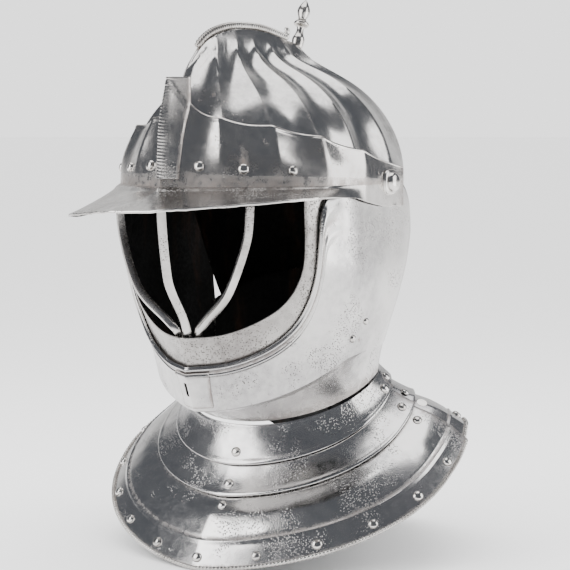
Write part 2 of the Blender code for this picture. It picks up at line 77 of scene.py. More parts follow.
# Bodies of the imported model
SKULL_BODY, BEVOR_BODY, VISOR_BODY = "skull_body", "bevor_body", "visor_body"

# Shape of the skull, in metres, before the helmet is stood over the origin
BROW_Z = 0.298
SKULL_HALF_WIDTH = 0.096
SKULL_FRONT = 0.104
SKULL_BACK = 0.138
SKULL_RISE = 0.092
CROWN_Y = 0.035
CROWN_HALF_LENGTH = 0.150
COMB_START_Y = -0.086
COMB_END_Y = 0.062
COMB_TIP = 0.0022
COMB_BAND = 0.0125
COMB_SPREAD = 0.0105
COMB_ROLL_RADIUS = 0.0028
APEX_LIFT = 0.0130
APEX_SPREAD = 0.0120
FRONT_SKIRT = 0.004
NAPE_SKIRT = 0.112
NAPE_DRAW = 0.150
FLUTES = 16
FINIAL_TILT = 20
FINIAL_STAND = 0.0080
ROLL_SEAT = 0.0002
# Small upward curl at the roll's rear end: steps back and up
COMB_ROLL_CURL = ((0.0016, 0.0016), (0.0020, 0.0045), (0.0012, 0.0085))

# Welt along the band of the comb, and the share of the comb's height that the inside follows
COMB_WELT = 0.0010
INNER_COMB_SHARE = 0.72

# Visor and peak
PIVOT_Y = 0.036
PIVOT_DROP = 0.001
PIVOT_Z = BROW_Z - PIVOT_DROP
VISOR_CLEARANCE = 0.0066
VISOR_TOP_CLEARANCE = 0.0042
VISOR_RISE = 0.061
VISOR_END_RISE = 0.012
SCALLOP = 0.0008
VISOR_END = 112.5
VISOR_FOOT = 0.10
VISOR_LIP = 0.0007
PEAK_BEAD = 0.0012
PEAK_FRAY = 0.0007
PEAK_ROOT_DROP = 0.002
PEAK_FADE_START, PEAK_FADE_END = 62, 88
PEAK_FRONT = 0.165
PEAK_HALF_WIDTH = 0.117
PEAK_DROP = 0.016
PEAK_TILT = 0.010
VISOR_KEEL = 0.012
VISOR_KEEL_SPREAD = 0.009
KEEL_PLATE_HALF = 0.0105
KEEL_PLATE_DEPTH = 0.002
KEEL_NOTCH_PITCH = 0.0024
KEEL_NOTCH = 0.0004
KEEL_FOOT, KEEL_HEAD = 0.004, 0.002

# Face opening, bars and bevor
FACE_SIDE_CLEARANCE = 0.0035
FACE_HALF_WIDTH = SKULL_HALF_WIDTH + FACE_SIDE_CLEARANCE
FACE_KEEL = 0.122
FACE_FULLNESS = 0.77
CHIN_HALF_WIDTH = 0.082
CHIN_KEEL = 0.080
CHIN_Z = 0.122
CHIN_LIFT = 0.046
FRAME_INSET = 0.0027
FRAME_BEAD = 0.0007
BAR_RADIUS = 0.0034
MIDDLE_BAR_TOP_SET = -0.24
MIDDLE_BAR_FOOT_SET = 1.30
BAR_TOP, BAR_FOOT = 0.925, 0.29
BEVOR_END = 124
BEVOR_BEND = 0.70
OUTER_RIDGE, INNER_RIDGE = 0.0022, 0.0013
RIDGE_FADE_START, RIDGE_FADE_END = 80, 68
CATCH_HALF_TURN = 9.0
CATCH_STAND = 0.0008
CATCH_WALL_SHARE = 0.7

# Gorget
LAP = 0.0030
NECK_Y = 0.045
NECK_HALF_WIDTH = 0.076
NECK_FRONT = 0.065
NECK_BACK = 0.069
NECK_Z = 0.105
NECK_TILT = 0.060
RIM_HALF_WIDTH = 0.154
RIM_FRONT = 0.129
RIM_BACK = 0.146
RIM_ARCH = 0.104
SHOULDER_FRONT, SHOULDER_REAR = 114, 126
REAR_RIM_LIFT = 0.0100
COLLAR_TOP = -0.52
FRONT_END = 106
REAR_START = 96
BEVOR_FOOT_END = 100
REAR_DROP = LAP * 2
COLLAR_RISE = 0.022
RIM_ROPE_RADIUS = 0.0017
RIM_ROPE_LIFT = 0.0004
RIM_ROPE_WAY = 0.988
PLATE_LINE = 0.0009
LAME_LIP = 0.0005

# Fall of the gorget from neck to rim: way along it, share of the reach, share of the drop
GORGET_FALL = (
    (-0.52, 0.00, -0.52),
    (-0.20, 0.00, -0.20),
    (0.00, 0.00, 0.00),
    (0.08, 0.05, 0.14),
    (0.20, 0.17, 0.31),
    (0.40, 0.41, 0.50),
    (0.62, 0.64, 0.64),
    (0.84, 0.85, 0.83),
    (1.00, 1.00, 1.00),
)
# Face opening and frame: degrees round from the keel, share of the height from chin to brow
INNER_EDGE = ((0, 0.335), (14, 0.35), (28, 0.40), (41, 0.47), (50, 0.555), (56, 0.66), (59, 0.79),
              (60, 0.945))
OUTER_EDGE = ((0, 0.19), (17, 0.21), (33, 0.265), (46, 0.34), (55, 0.44), (62, 0.56), (67.5, 0.73),
              (70.5, 0.945))
# Upper edge of the bevor: degrees round from the keel, share of the height from chin to brow
BEVOR_EDGE = (
    (0, 0.205), (17, 0.225), (33, 0.285), (45, 0.365), (53, 0.455), (60, 0.585), (65, 0.75), (68, 0.89),
    (72, 0.95), (85, 0.97), (104, 1.02), (114, 0.99), (120, 0.90), (124, 0.76),
)
# Comb above the bowl: share of its length from the front, height
COMB_PROFILE = ((0.0, 0.035), (0.13, 0.0395), (0.30, 0.0365), (0.50, 0.0305), (0.72, 0.0235),
                (0.90, 0.0150), (1.0, 0.006))
# Side bar: share of the face half width, share of the keel's reach, share of the height from chin to brow
SIDE_BAR = ((0.61, 0.81, 0.925), (0.575, 0.83, 0.756), (0.42, 0.895, 0.54), (0.185, 0.915, 0.41),
            (0.105, 0.915, 0.36), (0.10, 0.885, 0.31))


def standing_shift():
    """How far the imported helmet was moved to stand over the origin, read off the left pivot's box."""
    low, high = (Vector(corner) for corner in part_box("pivot_left"))
    middle = (low + high) / 2
    return Vector((0.0, middle.y - PIVOT_Y, middle.z - PIVOT_Z))


SHIFT = standing_shift()


def smooth(t):
    t = min(max(t, 0.0), 1.0)
    return t * t * (3 - 2 * t)


def mix(a, b, t):
    return a + (b - a) * t


def bump(t, middle, width):
    """Rounded rise of height 1 about the middle."""
    return math.exp(-((t - middle) / width) ** 2)


def curve_through(points, t):
    """Point at share t along a smooth curve through a row of points, each a tuple of numbers."""
    spot = min(max(t, 0.0), 1.0) * (len(points) - 1)
    k = min(int(spot), len(points) - 2)
    f = spot - k
    before, after = points[max(k - 1, 0)], points[min(k + 2, len(points) - 1)]
    return [
        0.5 * (2 * b + (c - a) * f + (2 * a - 5 * b + 4 * c - d) * f ** 2
               + (3 * b - a - 3 * c + d) * f ** 3)
        for a, b, c, d in zip(before, points[k], points[k + 1], after)
    ]


def look_up(table, key, column=1):
    """Smooth reading of a table whose first column rises."""
    rows = len(table)
    if key <= table[0][0]:
        return table[0][column]
    for k in range(rows - 1):
        x0, x1 = table[k][0], table[k + 1][0]
        if key <= x1:
            y0, y1 = table[k][column], table[k + 1][column]
            span = x1 - x0
            slopes = []
            for j in (k, k + 1):
                a, b = max(j - 1, 0), min(j + 1, rows - 1)
                slopes.append((table[b][column] - table[a][column]) / (table[b][0] - table[a][0]) * span)
            f = (key - x0) / span
            return ((2 * f ** 3 - 3 * f ** 2 + 1) * y0 + (f ** 3 - 2 * f ** 2 + f) * slopes[0]
                    + (3 * f ** 2 - 2 * f ** 3) * y1 + (f ** 3 - f ** 2) * slopes[1])
    return table[-1][column]


def plan(angle, half_width, front, back, keel, flat=0.0, full=1.0):
    """Point on a keeled oval, by degrees round from the front.

    flat keeps the sides straight that far back, and full below 1 squares the front corners.
    """
    side = math.copysign(1.0, angle)
    turn = abs(angle)
    a = math.radians(turn)
    if turn <= 90:
        power = mix(full, 1.0, smooth((turn - 60) / 30))
        y = -front * ((1 - keel) * max(0.0, math.cos(a)) ** power + keel * (1 - turn / 90))
        return side * half_width * math.sin(a) ** power, y
    y = -back * math.cos(a)
    width = half_width
    if y > flat:
        width *= math.sqrt(max(0.0, 1 - ((y - flat) / (back - flat)) ** 2))
    return side * width, y


def crown_line(y):
    """Height of the bowl above the brow line, along the middle plane."""
    return SKULL_RISE * math.sqrt(max(0.0, 1 - ((y - CROWN_Y) / CROWN_HALF_LENGTH) ** 2))


def comb_rise(y):
    share = (y - COMB_START_Y) / (COMB_END_Y - COMB_START_Y)
    return look_up(COMB_PROFILE, share)


def apex_rise(x, y):
    """Small bell-shaped rise of the bowl to the foot of the finial."""
    return APEX_LIFT * math.exp(-math.hypot(x, y - COMB_END_Y) / APEX_SPREAD)


def comb_y(angle):
    return mix(COMB_START_Y, COMB_END_Y, min(1.0, (abs(angle) / 150) ** 0.8))


def flute(angle):
    """Depth of the hollow between two ridges, 0 on a ridge and 1 half way."""
    return math.sin(math.pi * ((angle * FLUTES / 360) % 1.0))


def skull_point(angle, level, grow=0.0, inside=0.0):
    """Point of the bowl; level runs from 1 at the brow to 0 at the comb, grow moves it outwards."""
    x, y = plan(angle, SKULL_HALF_WIDTH + grow - inside, SKULL_FRONT + grow - inside,
                SKULL_BACK + grow - inside, 0.12, flat=PIVOT_Y + 0.016)
    top_y = comb_y(angle)
    x *= level
    y = mix(top_y, y, level)
    rise = crown_line(top_y) + grow - inside
    z = BROW_Z + rise * math.sqrt(1 - level * level)
    share = INNER_COMB_SHARE if inside else 1.0
    away = max(0.0, abs(x) + inside - COMB_TIP)
    lift = comb_rise(top_y) * share * math.exp(-away / COMB_SPREAD)
    z += lift * (1 - level) ** 0.25 + apex_rise(x, y)
    depth = bpy.context.scene.helmet_shape.flute_depth
    reach_up = min(1.0, 1.7 * level)
    if not grow:
        reach_up = mix(reach_up, 1.0, 0.85 * smooth((level - 0.06) / 0.05))
    sink = depth * flute(angle) * reach_up * (0.2 + 0.8 * smooth((z - BROW_Z) / 0.03))
    centre = Vector((0, CROWN_Y * 0.5, BROW_Z))
    point = Vector((x, y, z))
    reach = (point - centre).length
    return centre + (point - centre) * (1 - sink / reach)


def skirt_point(angle, share, inside=0.0):
    """Point of the wall below the brow line; share runs from 0 at the brow to 1 at the lower edge."""
    length = FRONT_SKIRT + (NAPE_SKIRT - FRONT_SKIRT) * smooth((abs(angle) - 102) / 28)
    base = skull_point(angle, 1.0, 0.0, inside)
    draw = 1 - NAPE_DRAW * share ** 2 * length / NAPE_SKIRT
    return Vector((base.x * draw, base.y * draw, BROW_Z - length * share))


def visor_top(angle):
    """Level of the visor's scalloped upper edge."""
    share = abs(angle) / 112
    rise = VISOR_END_RISE + VISOR_RISE * max(0.0, 1 - share ** 1.5)
    rise -= SCALLOP * flute(angle)
    whole = crown_line(comb_y(angle)) + comb_rise(comb_y(angle))
    return min(0.95, rise / whole)


def visor_point(angle, height, inside):
    """Point of the visor; height runs from 0 at the brow to 1 at its upper edge."""
    sine = visor_top(angle) * height
    level = math.sqrt(1 - sine * sine)
    hug = smooth((height - 0.3) / 0.7) * smooth((95 - abs(angle)) / 25)
    clearance = mix(VISOR_CLEARANCE, VISOR_TOP_CLEARANCE, hug)
    spot = skull_point(angle, level, clearance + bpy.context.scene.helmet_shape.wall - inside)
    spot.y -= VISOR_KEEL * math.exp(-abs(spot.x) / VISOR_KEEL_SPREAD)
    return spot


def peak_point(angle, share, inside):
    """Point of the peak; share runs from 0 at the brow to 1 at its outer edge."""
    root = visor_point(angle, 0.0, 0.0)
    edge_x, edge_y = plan(angle, PEAK_HALF_WIDTH, PEAK_FRONT, SKULL_BACK, 0.18)
    turn = min(abs(angle), 90.0)
    if turn < 90:
        a = math.radians(turn)
        edge_x = math.copysign(PEAK_HALF_WIDTH * math.sin(a) ** 0.72, angle)
        edge_y = -PEAK_FRONT * (0.82 * math.cos(a) ** 0.75 + 0.18 * (1 - turn / 90))
    grow = 1 - smooth((abs(angle) - PEAK_FADE_START) / (PEAK_FADE_END - PEAK_FADE_START))
    tilt = PEAK_TILT * math.sin(math.radians(min(max(angle, -90), 90)))
    out_x = mix(root.x, edge_x, share * grow)
    out_y = mix(root.y, edge_y, share * grow)
    drop = mix(0.010 + 0.008 * smooth((abs(angle) - 80) / 25), PEAK_DROP - tilt, grow) * share ** 0.8
    lift = inside * (0.2 + 0.8 * smooth(share * 3) * grow)
    draw = inside * (1 - smooth(share * 3) * grow)
    flat = Vector((out_x, out_y, 0))
    flat *= 1 - draw / max(flat.length, 1e-6)
    return Vector((flat.x, flat.y, root.z - PEAK_ROOT_DROP - drop - lift * grow))


def face_plan(angle, height, grow):
    """Point of the face surface; height runs from 0 at the chin to 1 at the brow."""
    up = smooth(height)
    full = min(1.0, height * 1.45)
    width = mix(CHIN_HALF_WIDTH, FACE_HALF_WIDTH, smooth(full)) + grow
    front = mix(CHIN_KEEL, FACE_KEEL, math.sin(height * math.pi / 2)) + grow
    back = mix(0.112, 0.152, up) + grow
    keel = mix(0.92, 0.30, smooth((height - 0.25) / 0.7))
    square = mix(1.0, FACE_FULLNESS, smooth(height / 0.5))
    x, y = plan(angle, width, front, back, keel, flat=mix(0.03, PIVOT_Y + 0.03, up), full=square)
    return Vector((x, y, mix(CHIN_Z, BROW_Z, height)))


def frame_point(side, across, inside):
    """Point of the face frame; side runs from -1 to 1, across from its outer edge to its inner one."""
    angle_in, height_in = curve_through(INNER_EDGE, abs(side))
    angle_out, height_out = curve_through(OUTER_EDGE, abs(side))
    angle = math.copysign(mix(angle_out, angle_in, across), side)
    bead = FRAME_BEAD * bump(across, 0.90, 0.09)
    return face_plan(angle, mix(height_out, height_in, across), bead - FRAME_INSET - inside)


def ridge_fade(angle):
    """Share of the double border that is left at an angle, none behind the cheeks."""
    return smooth((RIDGE_FADE_START - abs(angle)) / (RIDGE_FADE_START - RIDGE_FADE_END))


def bevor_point(angle, share, inside):
    """Point of the bevor; share runs from 0 at its upper edge to 1 at the neck."""
    top = look_up(BEVOR_EDGE, abs(angle))
    foot = gorget_point(angle * BEVOR_FOOT_END / BEVOR_END, -0.022, LAP * 2 - inside)
    tall = BROW_Z - CHIN_Z
    chin_z = CHIN_Z + CHIN_LIFT * smooth(abs(angle) / BEVOR_END)
    chin = face_plan(angle, (chin_z - CHIN_Z) / tall, -inside)
    if share <= BEVOR_BEND:
        z = mix(mix(CHIN_Z, BROW_Z, top), chin_z, share / BEVOR_BEND)
        spot = face_plan(angle, (z - CHIN_Z) / tall, -inside)
        ridges = OUTER_RIDGE * bump(share, 0.055, 0.035) + INNER_RIDGE * bump(share, 0.150, 0.022)
        border = ridges * ridge_fade(angle)
        out = Vector((spot.x, spot.y, 0)).normalized() * border
        return Vector((spot.x + out.x, spot.y + out.y, z))
    part = (share - BEVOR_BEND) / (1 - BEVOR_BEND)
    spot = chin.lerp(foot, part ** 0.75)
    spot.z = mix(chin.z, foot.z, part ** 1.3)
    return spot


def rim_height(angle):
    """Height of the gorget's rim, arched over each shoulder."""
    turn = abs(angle)
    if turn <= SHOULDER_FRONT:
        return RIM_ARCH * (turn / SHOULDER_FRONT) ** 1.7
    return mix(RIM_ARCH, REAR_RIM_LIFT, (max(0.0, turn - SHOULDER_REAR) / (180 - SHOULDER_REAR)) ** 1.25)


def gorget_base(angle, way):
    neck_x, neck_y = plan(angle, NECK_HALF_WIDTH, NECK_FRONT, NECK_BACK, 0.0)
    rim_x, rim_y = plan(angle, RIM_HALF_WIDTH, RIM_FRONT, RIM_BACK, 0.30)
    out = look_up(GORGET_FALL, way, 1)
    down = look_up(GORGET_FALL, way, 2)
    neck_z = NECK_Z + NECK_TILT * (1 - math.cos(math.radians(angle))) / 2
    if way < 0:
        z = neck_z + COLLAR_RISE * (-down) / 0.20
    else:
        z = mix(neck_z, rim_height(angle), down)
    return Vector((mix(neck_x, rim_x, out), NECK_Y + mix(neck_y, rim_y, out), z))


def gorget_point(angle, way, grow):
    """Point of the gorget's surface, moved grow along its outward normal."""
    spot = gorget_base(angle, way)
    along = gorget_base(angle, min(way + 0.07, 1.0)) - gorget_base(angle, max(way - 0.07, COLLAR_TOP))
    radial = Vector((spot.x, spot.y - NECK_Y, 0)).normalized()
    run = Vector((along.dot(radial), along.z))
    run.normalize()
    return spot + (radial * -run[1] + Vector((0, 0, run[0]))) * grow


def wrap(angle):
    return angle - 360 if angle > 180 else angle


def deselect():
    bpy.ops.object.select_all(action="DESELECT")


def weld(obj, closed=True):
    """Merges doubled corners, and points every face of a closed mesh outwards."""
    deselect()
    obj.select_set(True)
    bpy.context.view_layer.objects.active = obj
    bpy.ops.object.mode_set(mode="EDIT")
    bpy.ops.mesh.select_all(action="SELECT")
    bpy.ops.mesh.remove_doubles(threshold=TOUCHING)
    if closed:
        bpy.ops.mesh.dissolve_degenerate(threshold=TOUCHING)
        bpy.ops.mesh.normals_make_consistent(inside=False)
    bpy.ops.object.mode_set(mode="OBJECT")


def apply_modifier(obj, kind, **settings):
    modifier = obj.modifiers.new(kind.title(), kind)
    for key, value in settings.items():
        setattr(modifier, key, value)
    bpy.context.view_layer.objects.active = obj
    bpy.ops.object.modifier_apply(modifier=modifier.name)


def new_grid(name, columns, rows):
    """A flat grid of faces, whose own corners tell the share across and the share up."""
    deselect()
    bpy.ops.mesh.primitive_grid_add(x_subdivisions=columns, y_subdivisions=rows, size=1)
    obj = bpy.context.active_object
    obj.name = obj.data.name = name
    spots = obj.data.attributes.new("spot", "FLOAT_VECTOR", "POINT")
    for v, spot in zip(obj.data.vertices, spots.data):
        spot.vector = (v.co.x + 0.5, v.co.y + 0.5, 0.0)
    return obj


def smooth_faces(obj, degrees=38):
    deselect()
    obj.select_set(True)
    bpy.context.view_layer.objects.active = obj
    bpy.ops.object.shade_smooth_by_angle(angle=math.radians(degrees))


def set_apart(obj, body, nodes=()):
    """Gives a finished piece its body and the nodes that it stands for."""
    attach(obj, body)
    if nodes:
        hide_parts(*nodes)
    return obj


def hammered(point, size=0.00022):
    """Small unevenness of a hand-hammered plate, in metres."""
    return size * (noise.noise(point * 34) + 0.6 * noise.noise(point * 75 + Vector((9, 4, 2))))


def plate(name, columns, rows, place, steel, holes=None, grime_and_shade=None):
    """Steel plate: a grid shaped by place(across, up, inside), given its wall and eased edges.

    holes(across, up) says which faces are cut out, and the last argument, called the same way, how much
    russet dirt and painted shade (in creases, under overlaps and along edges) a spot of the face gets.
    """
    wall = bpy.context.scene.helmet_shape.wall
    obj = new_grid(name, columns, rows)
    mesh = obj.data
    if holes:
        bpy.ops.object.mode_set(mode="EDIT")
        bpy.ops.mesh.select_mode(type="FACE")
        bpy.ops.mesh.select_all(action="DESELECT")
        bpy.ops.object.mode_set(mode="OBJECT")
        for face in mesh.polygons:
            face.select = holes(face.center.x + 0.5, face.center.y + 0.5)
        bpy.ops.object.mode_set(mode="EDIT")
        bpy.ops.mesh.delete(type="FACE")
        bpy.ops.object.mode_set(mode="OBJECT")
        mesh = obj.data
    spots = [tuple(s.vector)[:2] for s in mesh.attributes["spot"].data]
    outer = [place(u, w, 0.0) + SHIFT for u, w in spots]
    inner = [place(u, w, wall) + SHIFT for u, w in spots]
    for v, out, into in zip(mesh.vertices, outer, inner):
        v.co = out + (out - into).normalized() * hammered(out)
    weld(obj, closed=False)
    mesh = obj.data
    mesh.materials.append(steel)
    # Inside faces take the near-black finish of forge scale, which also paints the shade inside the helmet
    mesh.materials.append(finish("Blackened inside of the plates"))
    count = len(mesh.vertices)
    apply_modifier(obj, "SOLIDIFY", thickness=wall, offset=-1, material_offset=1, material_offset_rim=0)
    mesh = obj.data
    spots = [tuple(s.vector)[:2] for s in mesh.attributes["spot"].data]
    for k in range(count, len(mesh.vertices)):
        u, w = spots[k]
        out, into = place(u, w, 0.0) + SHIFT, place(u, w, wall) + SHIFT
        mesh.vertices[k].co = into + (out - into).normalized() * hammered(out)
    # Share of russet dirt and painted shade at each corner: the shade is painted into creases, under
    # overlaps and along edges
    marks = mesh.attributes.new("grime_and_shade", "FLOAT", "POINT")
    if grime_and_shade:
        for (u, w), mark in zip(spots, marks.data):
            mark.value = min(max(grime_and_shade(u, w), 0.0), 1.0)
    apply_modifier(obj, "BEVEL", width=EASE, segments=2, limit_method="ANGLE", angle_limit=math.radians(62))
    mesh.attributes.remove(mesh.attributes["spot"])
    smooth_faces(obj)
    return obj


def rod(name, sides, rings, path, section, steel, across=Vector((1, 0, 0))):
    """Closed rod along path(share), whose section(turn, share) gives its reach sideways and upwards."""
    obj = new_grid(name, sides, rings)
    step = 1.0 / rings
    for v in obj.data.vertices:
        turn, share = v.co.x + 0.5, v.co.y + 0.5
        along = (path(min(share + step, 1.0)) - path(max(share - step, 0.0))).normalized()
        level = (across - along * along.dot(across)).normalized()
        up = along.cross(level)
        wide, high = section(turn, share)
        v.co = path(share) + level * wide + up * high + SHIFT
    weld(obj)
    obj.data.attributes.remove(obj.data.attributes["spot"])
    obj.data.materials.append(steel)
    smooth_faces(obj)
    return obj


def round_end(share, length, radius):
    """Rounding of a rod's two ends, 0 at the tip and 1 past the radius."""
    away = min(share, 1 - share) * length / radius
    return math.sqrt(max(0.0, 1 - (1 - min(away, 1.0)) ** 2))


def rope(name, path, length, radius, across=Vector((1, 0, 0))):
    """Filed roping: a rod with slanting notches at the pitch of the real one."""
    shape = bpy.context.scene.helmet_shape
    turns = length / shape.rope_pitch

    def section(turn, share):
        twist = math.cos(2 * math.pi * (share * turns + turn))
        notch = shape.rope_depth * (0.5 - 0.5 * twist) ** 2
        reach = radius * (1 - notch) * round_end(share, length, radius)
        angle = 2 * math.pi * turn
        return reach * math.cos(angle), reach * math.sin(angle)

    return rod(name, 14, int(turns * 7), path, section, finish("Filed roping"), across)


def spun(name, profile, sides, rings, origin, axis, steel, ripple):
    """Turned piece: a smooth profile of (radius, height) points spun about an axis, changed by ripple."""
    axis = axis.normalized()
    u = axis.orthogonal().normalized()
    v = axis.cross(u)
    obj = new_grid(name, sides, rings)
    for corner in obj.data.vertices:
        turn, share = corner.co.x + 0.5, corner.co.y + 0.5
        radius, height = curve_through(profile, share)
        if share in (0.0, 1.0):
            radius = 0.0
        radius *= ripple(turn, share)
        angle = 2 * math.pi * turn
        corner.co = origin + axis * height + (u * math.cos(angle) + v * math.sin(angle)) * radius
    weld(obj)
    obj.data.attributes.remove(obj.data.attributes["spot"])
    obj.data.materials.append(steel)
    smooth_faces(obj, 45)
    return obj


def tree_of(obj):
    mesh = obj.data
    return BVHTree.FromPolygons([v.co for v in mesh.vertices], [tuple(f.vertices) for f in mesh.polygons])


def linear(text):
    """sRGB hex such as C8C6C3 to linear red, green and blue."""
    channels = [int(text[k:k + 2], 16) / 255 for k in (0, 2, 4)]
    return [c / 12.92 if c <= 0.04045 else ((c + 0.055) / 1.055) ** 2.4 for c in channels]


def rgba(text):
    return (*linear(text), 1)


def add_node(tree, kind, inputs=(), **settings):
    """Adds a node with its settings and gives its outputs.

    inputs are in the order of the node's sockets or under their names, each a value or an output.
    """
    made = tree.nodes.new("ShaderNode" + kind)
    for key, value in settings.items():
        setattr(made, key, value)
    for key, value in inputs.items() if isinstance(inputs, dict) else enumerate(inputs):
        if isinstance(value, bpy.types.NodeSocket):
            tree.links.new(value, made.inputs[key])
        else:
            made.inputs[key].default_value = value
    return made.outputs


def new_finish(name):
    """New material, its node tree, its shader and the place that its patterns are laid by."""
    material = bpy.data.materials.new(name)
    material.use_nodes = True
    tree = material.node_tree
    return tree, tree.nodes["Principled BSDF"], add_node(tree, "TexCoord")["Object"]


def forged_steel(name, bright, smoky, satin, pits, rust, seed):
    """Forged iron, filed and polished by hand: bright where rubbed, smoky where rust was cleaned off,
    russet where rust is left and where shade is painted into creases, overlaps and edges.

    satin is the roughness of a clean spot, pits the share that is pitted, rust the share that keeps russet.
    """
    tree, shader, place = new_finish(name)
    spot = add_node(tree, "Mapping", {"Vector": place, "Location": (seed, seed * 0.7, seed * 1.3)})[0]

    def pattern(scale, detail, roughness=0.5, where=spot):
        return {"Vector": where, "Scale": scale, "Detail": detail, "Roughness": roughness}

    # Clouds of smoky patina about 70 mm across, and a mottle of about 6 mm inside them
    cloud = add_node(tree, "TexNoise", pattern(14, 5, 0.6))[0]
    mottle = add_node(tree, "TexNoise", pattern(165, 7, 0.68))[0]
    # Old pits about 1.2 mm apart, in patches about 40 mm across
    cells = add_node(tree, "TexVoronoi", {"Vector": spot, "Scale": 620, "Randomness": 1.0})["Distance"]
    pit_patch = add_node(tree, "TexNoise", pattern(24, 3))[0]
    patch_low, patch_high = 0.66 - 0.3 * pits, 0.80 - 0.3 * pits
    pit_patch = add_node(tree, "MapRange", (pit_patch, patch_low, patch_high), **SOFT_EDGE)[0]
    pit = add_node(tree, "MapRange", (cells, 0.10, 0.42, 1.0, 0.0), **SOFT_EDGE)[0]
    pit = add_node(tree, "Math", (pit, pit_patch), operation="MULTIPLY")[0]
    # Polishing scratches, long one way and 0.4 mm apart the other, drawn coarser than the real ones to show
    strokes = []
    for turn, stretch in (((0.3, 0.9, 0.4), (90, 2400, 90)), ((1.2, -0.5, 1.1), (2600, 70, 110))):
        way = add_node(tree, "Mapping", {"Vector": spot, "Rotation": turn, "Scale": stretch})[0]
        strokes.append(add_node(tree, "TexNoise", pattern(1.0, 2, where=way))[0])
    scratches = add_node(tree, "Math", strokes, operation="MAXIMUM")[0]
    # Russet left in small spots, about 3 mm, gathered in a few places, and russet dirt mixed with painted
    # shade where the plate's attribute marks creases, overlaps and edges
    rust_spots = add_node(tree, "TexNoise", pattern(210, 8, 0.75))[0]
    rust_spots = add_node(tree, "MapRange", (rust_spots, 0.58, 0.70), **SOFT_EDGE)[0]
    rust_patch = add_node(tree, "TexNoise", pattern(19, 2))[0]
    patch_low, patch_high = 0.68 - 0.3 * rust, 0.78 - 0.3 * rust
    rust_patch = add_node(tree, "MapRange", (rust_patch, patch_low, patch_high), **SOFT_EDGE)[0]
    rust_share = add_node(tree, "Math", (rust_spots, rust_patch), operation="MULTIPLY")[0]
    dirt_and_shade = add_node(tree, "MapRange", (mottle, 0.34, 0.60, 0.35, 1.0), **SOFT_EDGE)[0]
    grime_and_shade = add_node(tree, "Attribute", attribute_name="grime_and_shade")["Fac"]
    dirt_and_shade = add_node(tree, "Math", (grime_and_shade, dirt_and_shade), operation="MULTIPLY")[0]
    # The russet share also carries the painted shade of creases, overlaps and plate edges, drawn in the
    # rust colour
    russet = add_node(tree, "Math", (rust_share, dirt_and_shade), operation="MAXIMUM", use_clamp=True)[0]

    patina = add_node(tree, "MapRange", (cloud, 0.38, 0.66), **SOFT_EDGE)[0]
    smoke = add_node(tree, "MapRange", (mottle, 0.34, 0.62, 0.6, 1.0), **SOFT_EDGE)[0]
    smoke = add_node(tree, "Math", (patina, smoke), operation="MULTIPLY")[0]
    colour = rgba(bright)
    for share, shade in ((smoke, smoky), (pit, PIT_COLOUR), (russet, RUST_AND_SHADE_COLOUR)):
        colour = add_node(tree, "Mix", {0: share, 6: colour, 7: rgba(shade)}, data_type="RGBA")[2]
    tree.links.new(colour, shader.inputs["Base Color"])
    metal = add_node(tree, "MapRange", (russet, 0.0, 1.0, 1.0, 0.45), **SOFT_EDGE)[0]
    tree.links.new(metal, shader.inputs["Metallic"])

    rough = add_node(tree, "MapRange", (mottle, 0.30, 0.70, satin - 0.03, satin + 0.06), **SOFT_EDGE)[0]
    for share, more in ((patina, 0.08), (pit, 0.20), (russet, 0.35)):
        rough = add_node(tree, "Math", (share, more, rough), operation="MULTIPLY_ADD", use_clamp=True)[0]
    tree.links.new(rough, shader.inputs["Roughness"])

    relief = add_node(tree, "Bump", {"Strength": 0.16, "Distance": 0.00015, "Height": mottle})[0]
    relief = add_node(tree, "Bump", {"Strength": 0.10, "Distance": 0.00008, "Height": scratches,
                                     "Normal": relief})[0]
    relief = add_node(tree, "Bump", {"Strength": 0.8, "Distance": 0.00025, "Height": pit, "Normal": relief},
                      invert=True)[0]
    tree.links.new(relief, shader.inputs["Normal"])


def dark_scale_and_painted_shade(name, scale_and_shade_black, russet):
    """Scale left by the forge on the unpolished inside, painted nearly black so that it also stands for the
    shade inside the helmet: dull, with runs of brown rust.
    """
    tree, shader, place = new_finish(name)
    tall = add_node(tree, "Mapping", {"Vector": place, "Scale": (1.0, 1.0, 0.25)})[0]
    # Runs about 18 mm wide and four times as tall, and forge scale of about 3 mm
    runs = add_node(tree, "TexNoise", {"Vector": tall, "Scale": 55, "Detail": 6, "Roughness": 0.6})[0]
    runs = add_node(tree, "MapRange", (runs, 0.52, 0.70), **SOFT_EDGE)[0]
    scale = add_node(tree, "TexNoise", {"Vector": place, "Scale": 320, "Detail": 6, "Roughness": 0.7})[0]
    colour = add_node(tree, "Mix", {0: runs, 6: rgba(scale_and_shade_black), 7: rgba(russet)}, data_type="RGBA")[2]
    tree.links.new(colour, shader.inputs["Base Color"])
    dull = add_node(tree, "MapRange", (scale, 0.3, 0.7, 0.62, 0.90), **SOFT_EDGE)[0]
    tree.links.new(dull, shader.inputs["Roughness"])
    shader.inputs["Specular IOR Level"].default_value = 0.15
    relief = add_node(tree, "Bump", {"Strength": 0.5, "Distance": 0.0003, "Height": scale})[0]
    tree.links.new(relief, shader.inputs["Normal"])


def studio_paper(name, colour):
    """Matt seamless paper whose sheen varies with a tooth of about 1 mm."""
    tree, shader, place = new_finish(name)
    tooth = add_node(tree, "TexNoise", {"Vector": place, "Scale": 900, "Detail": 2})[0]
    matt = add_node(tree, "MapRange", (tooth, 0.3, 0.7, 0.86, 0.94), **SOFT_EDGE)[0]
    tree.links.new(matt, shader.inputs["Roughness"])
    shader.inputs["Base Color"].default_value = (*colour, 1)


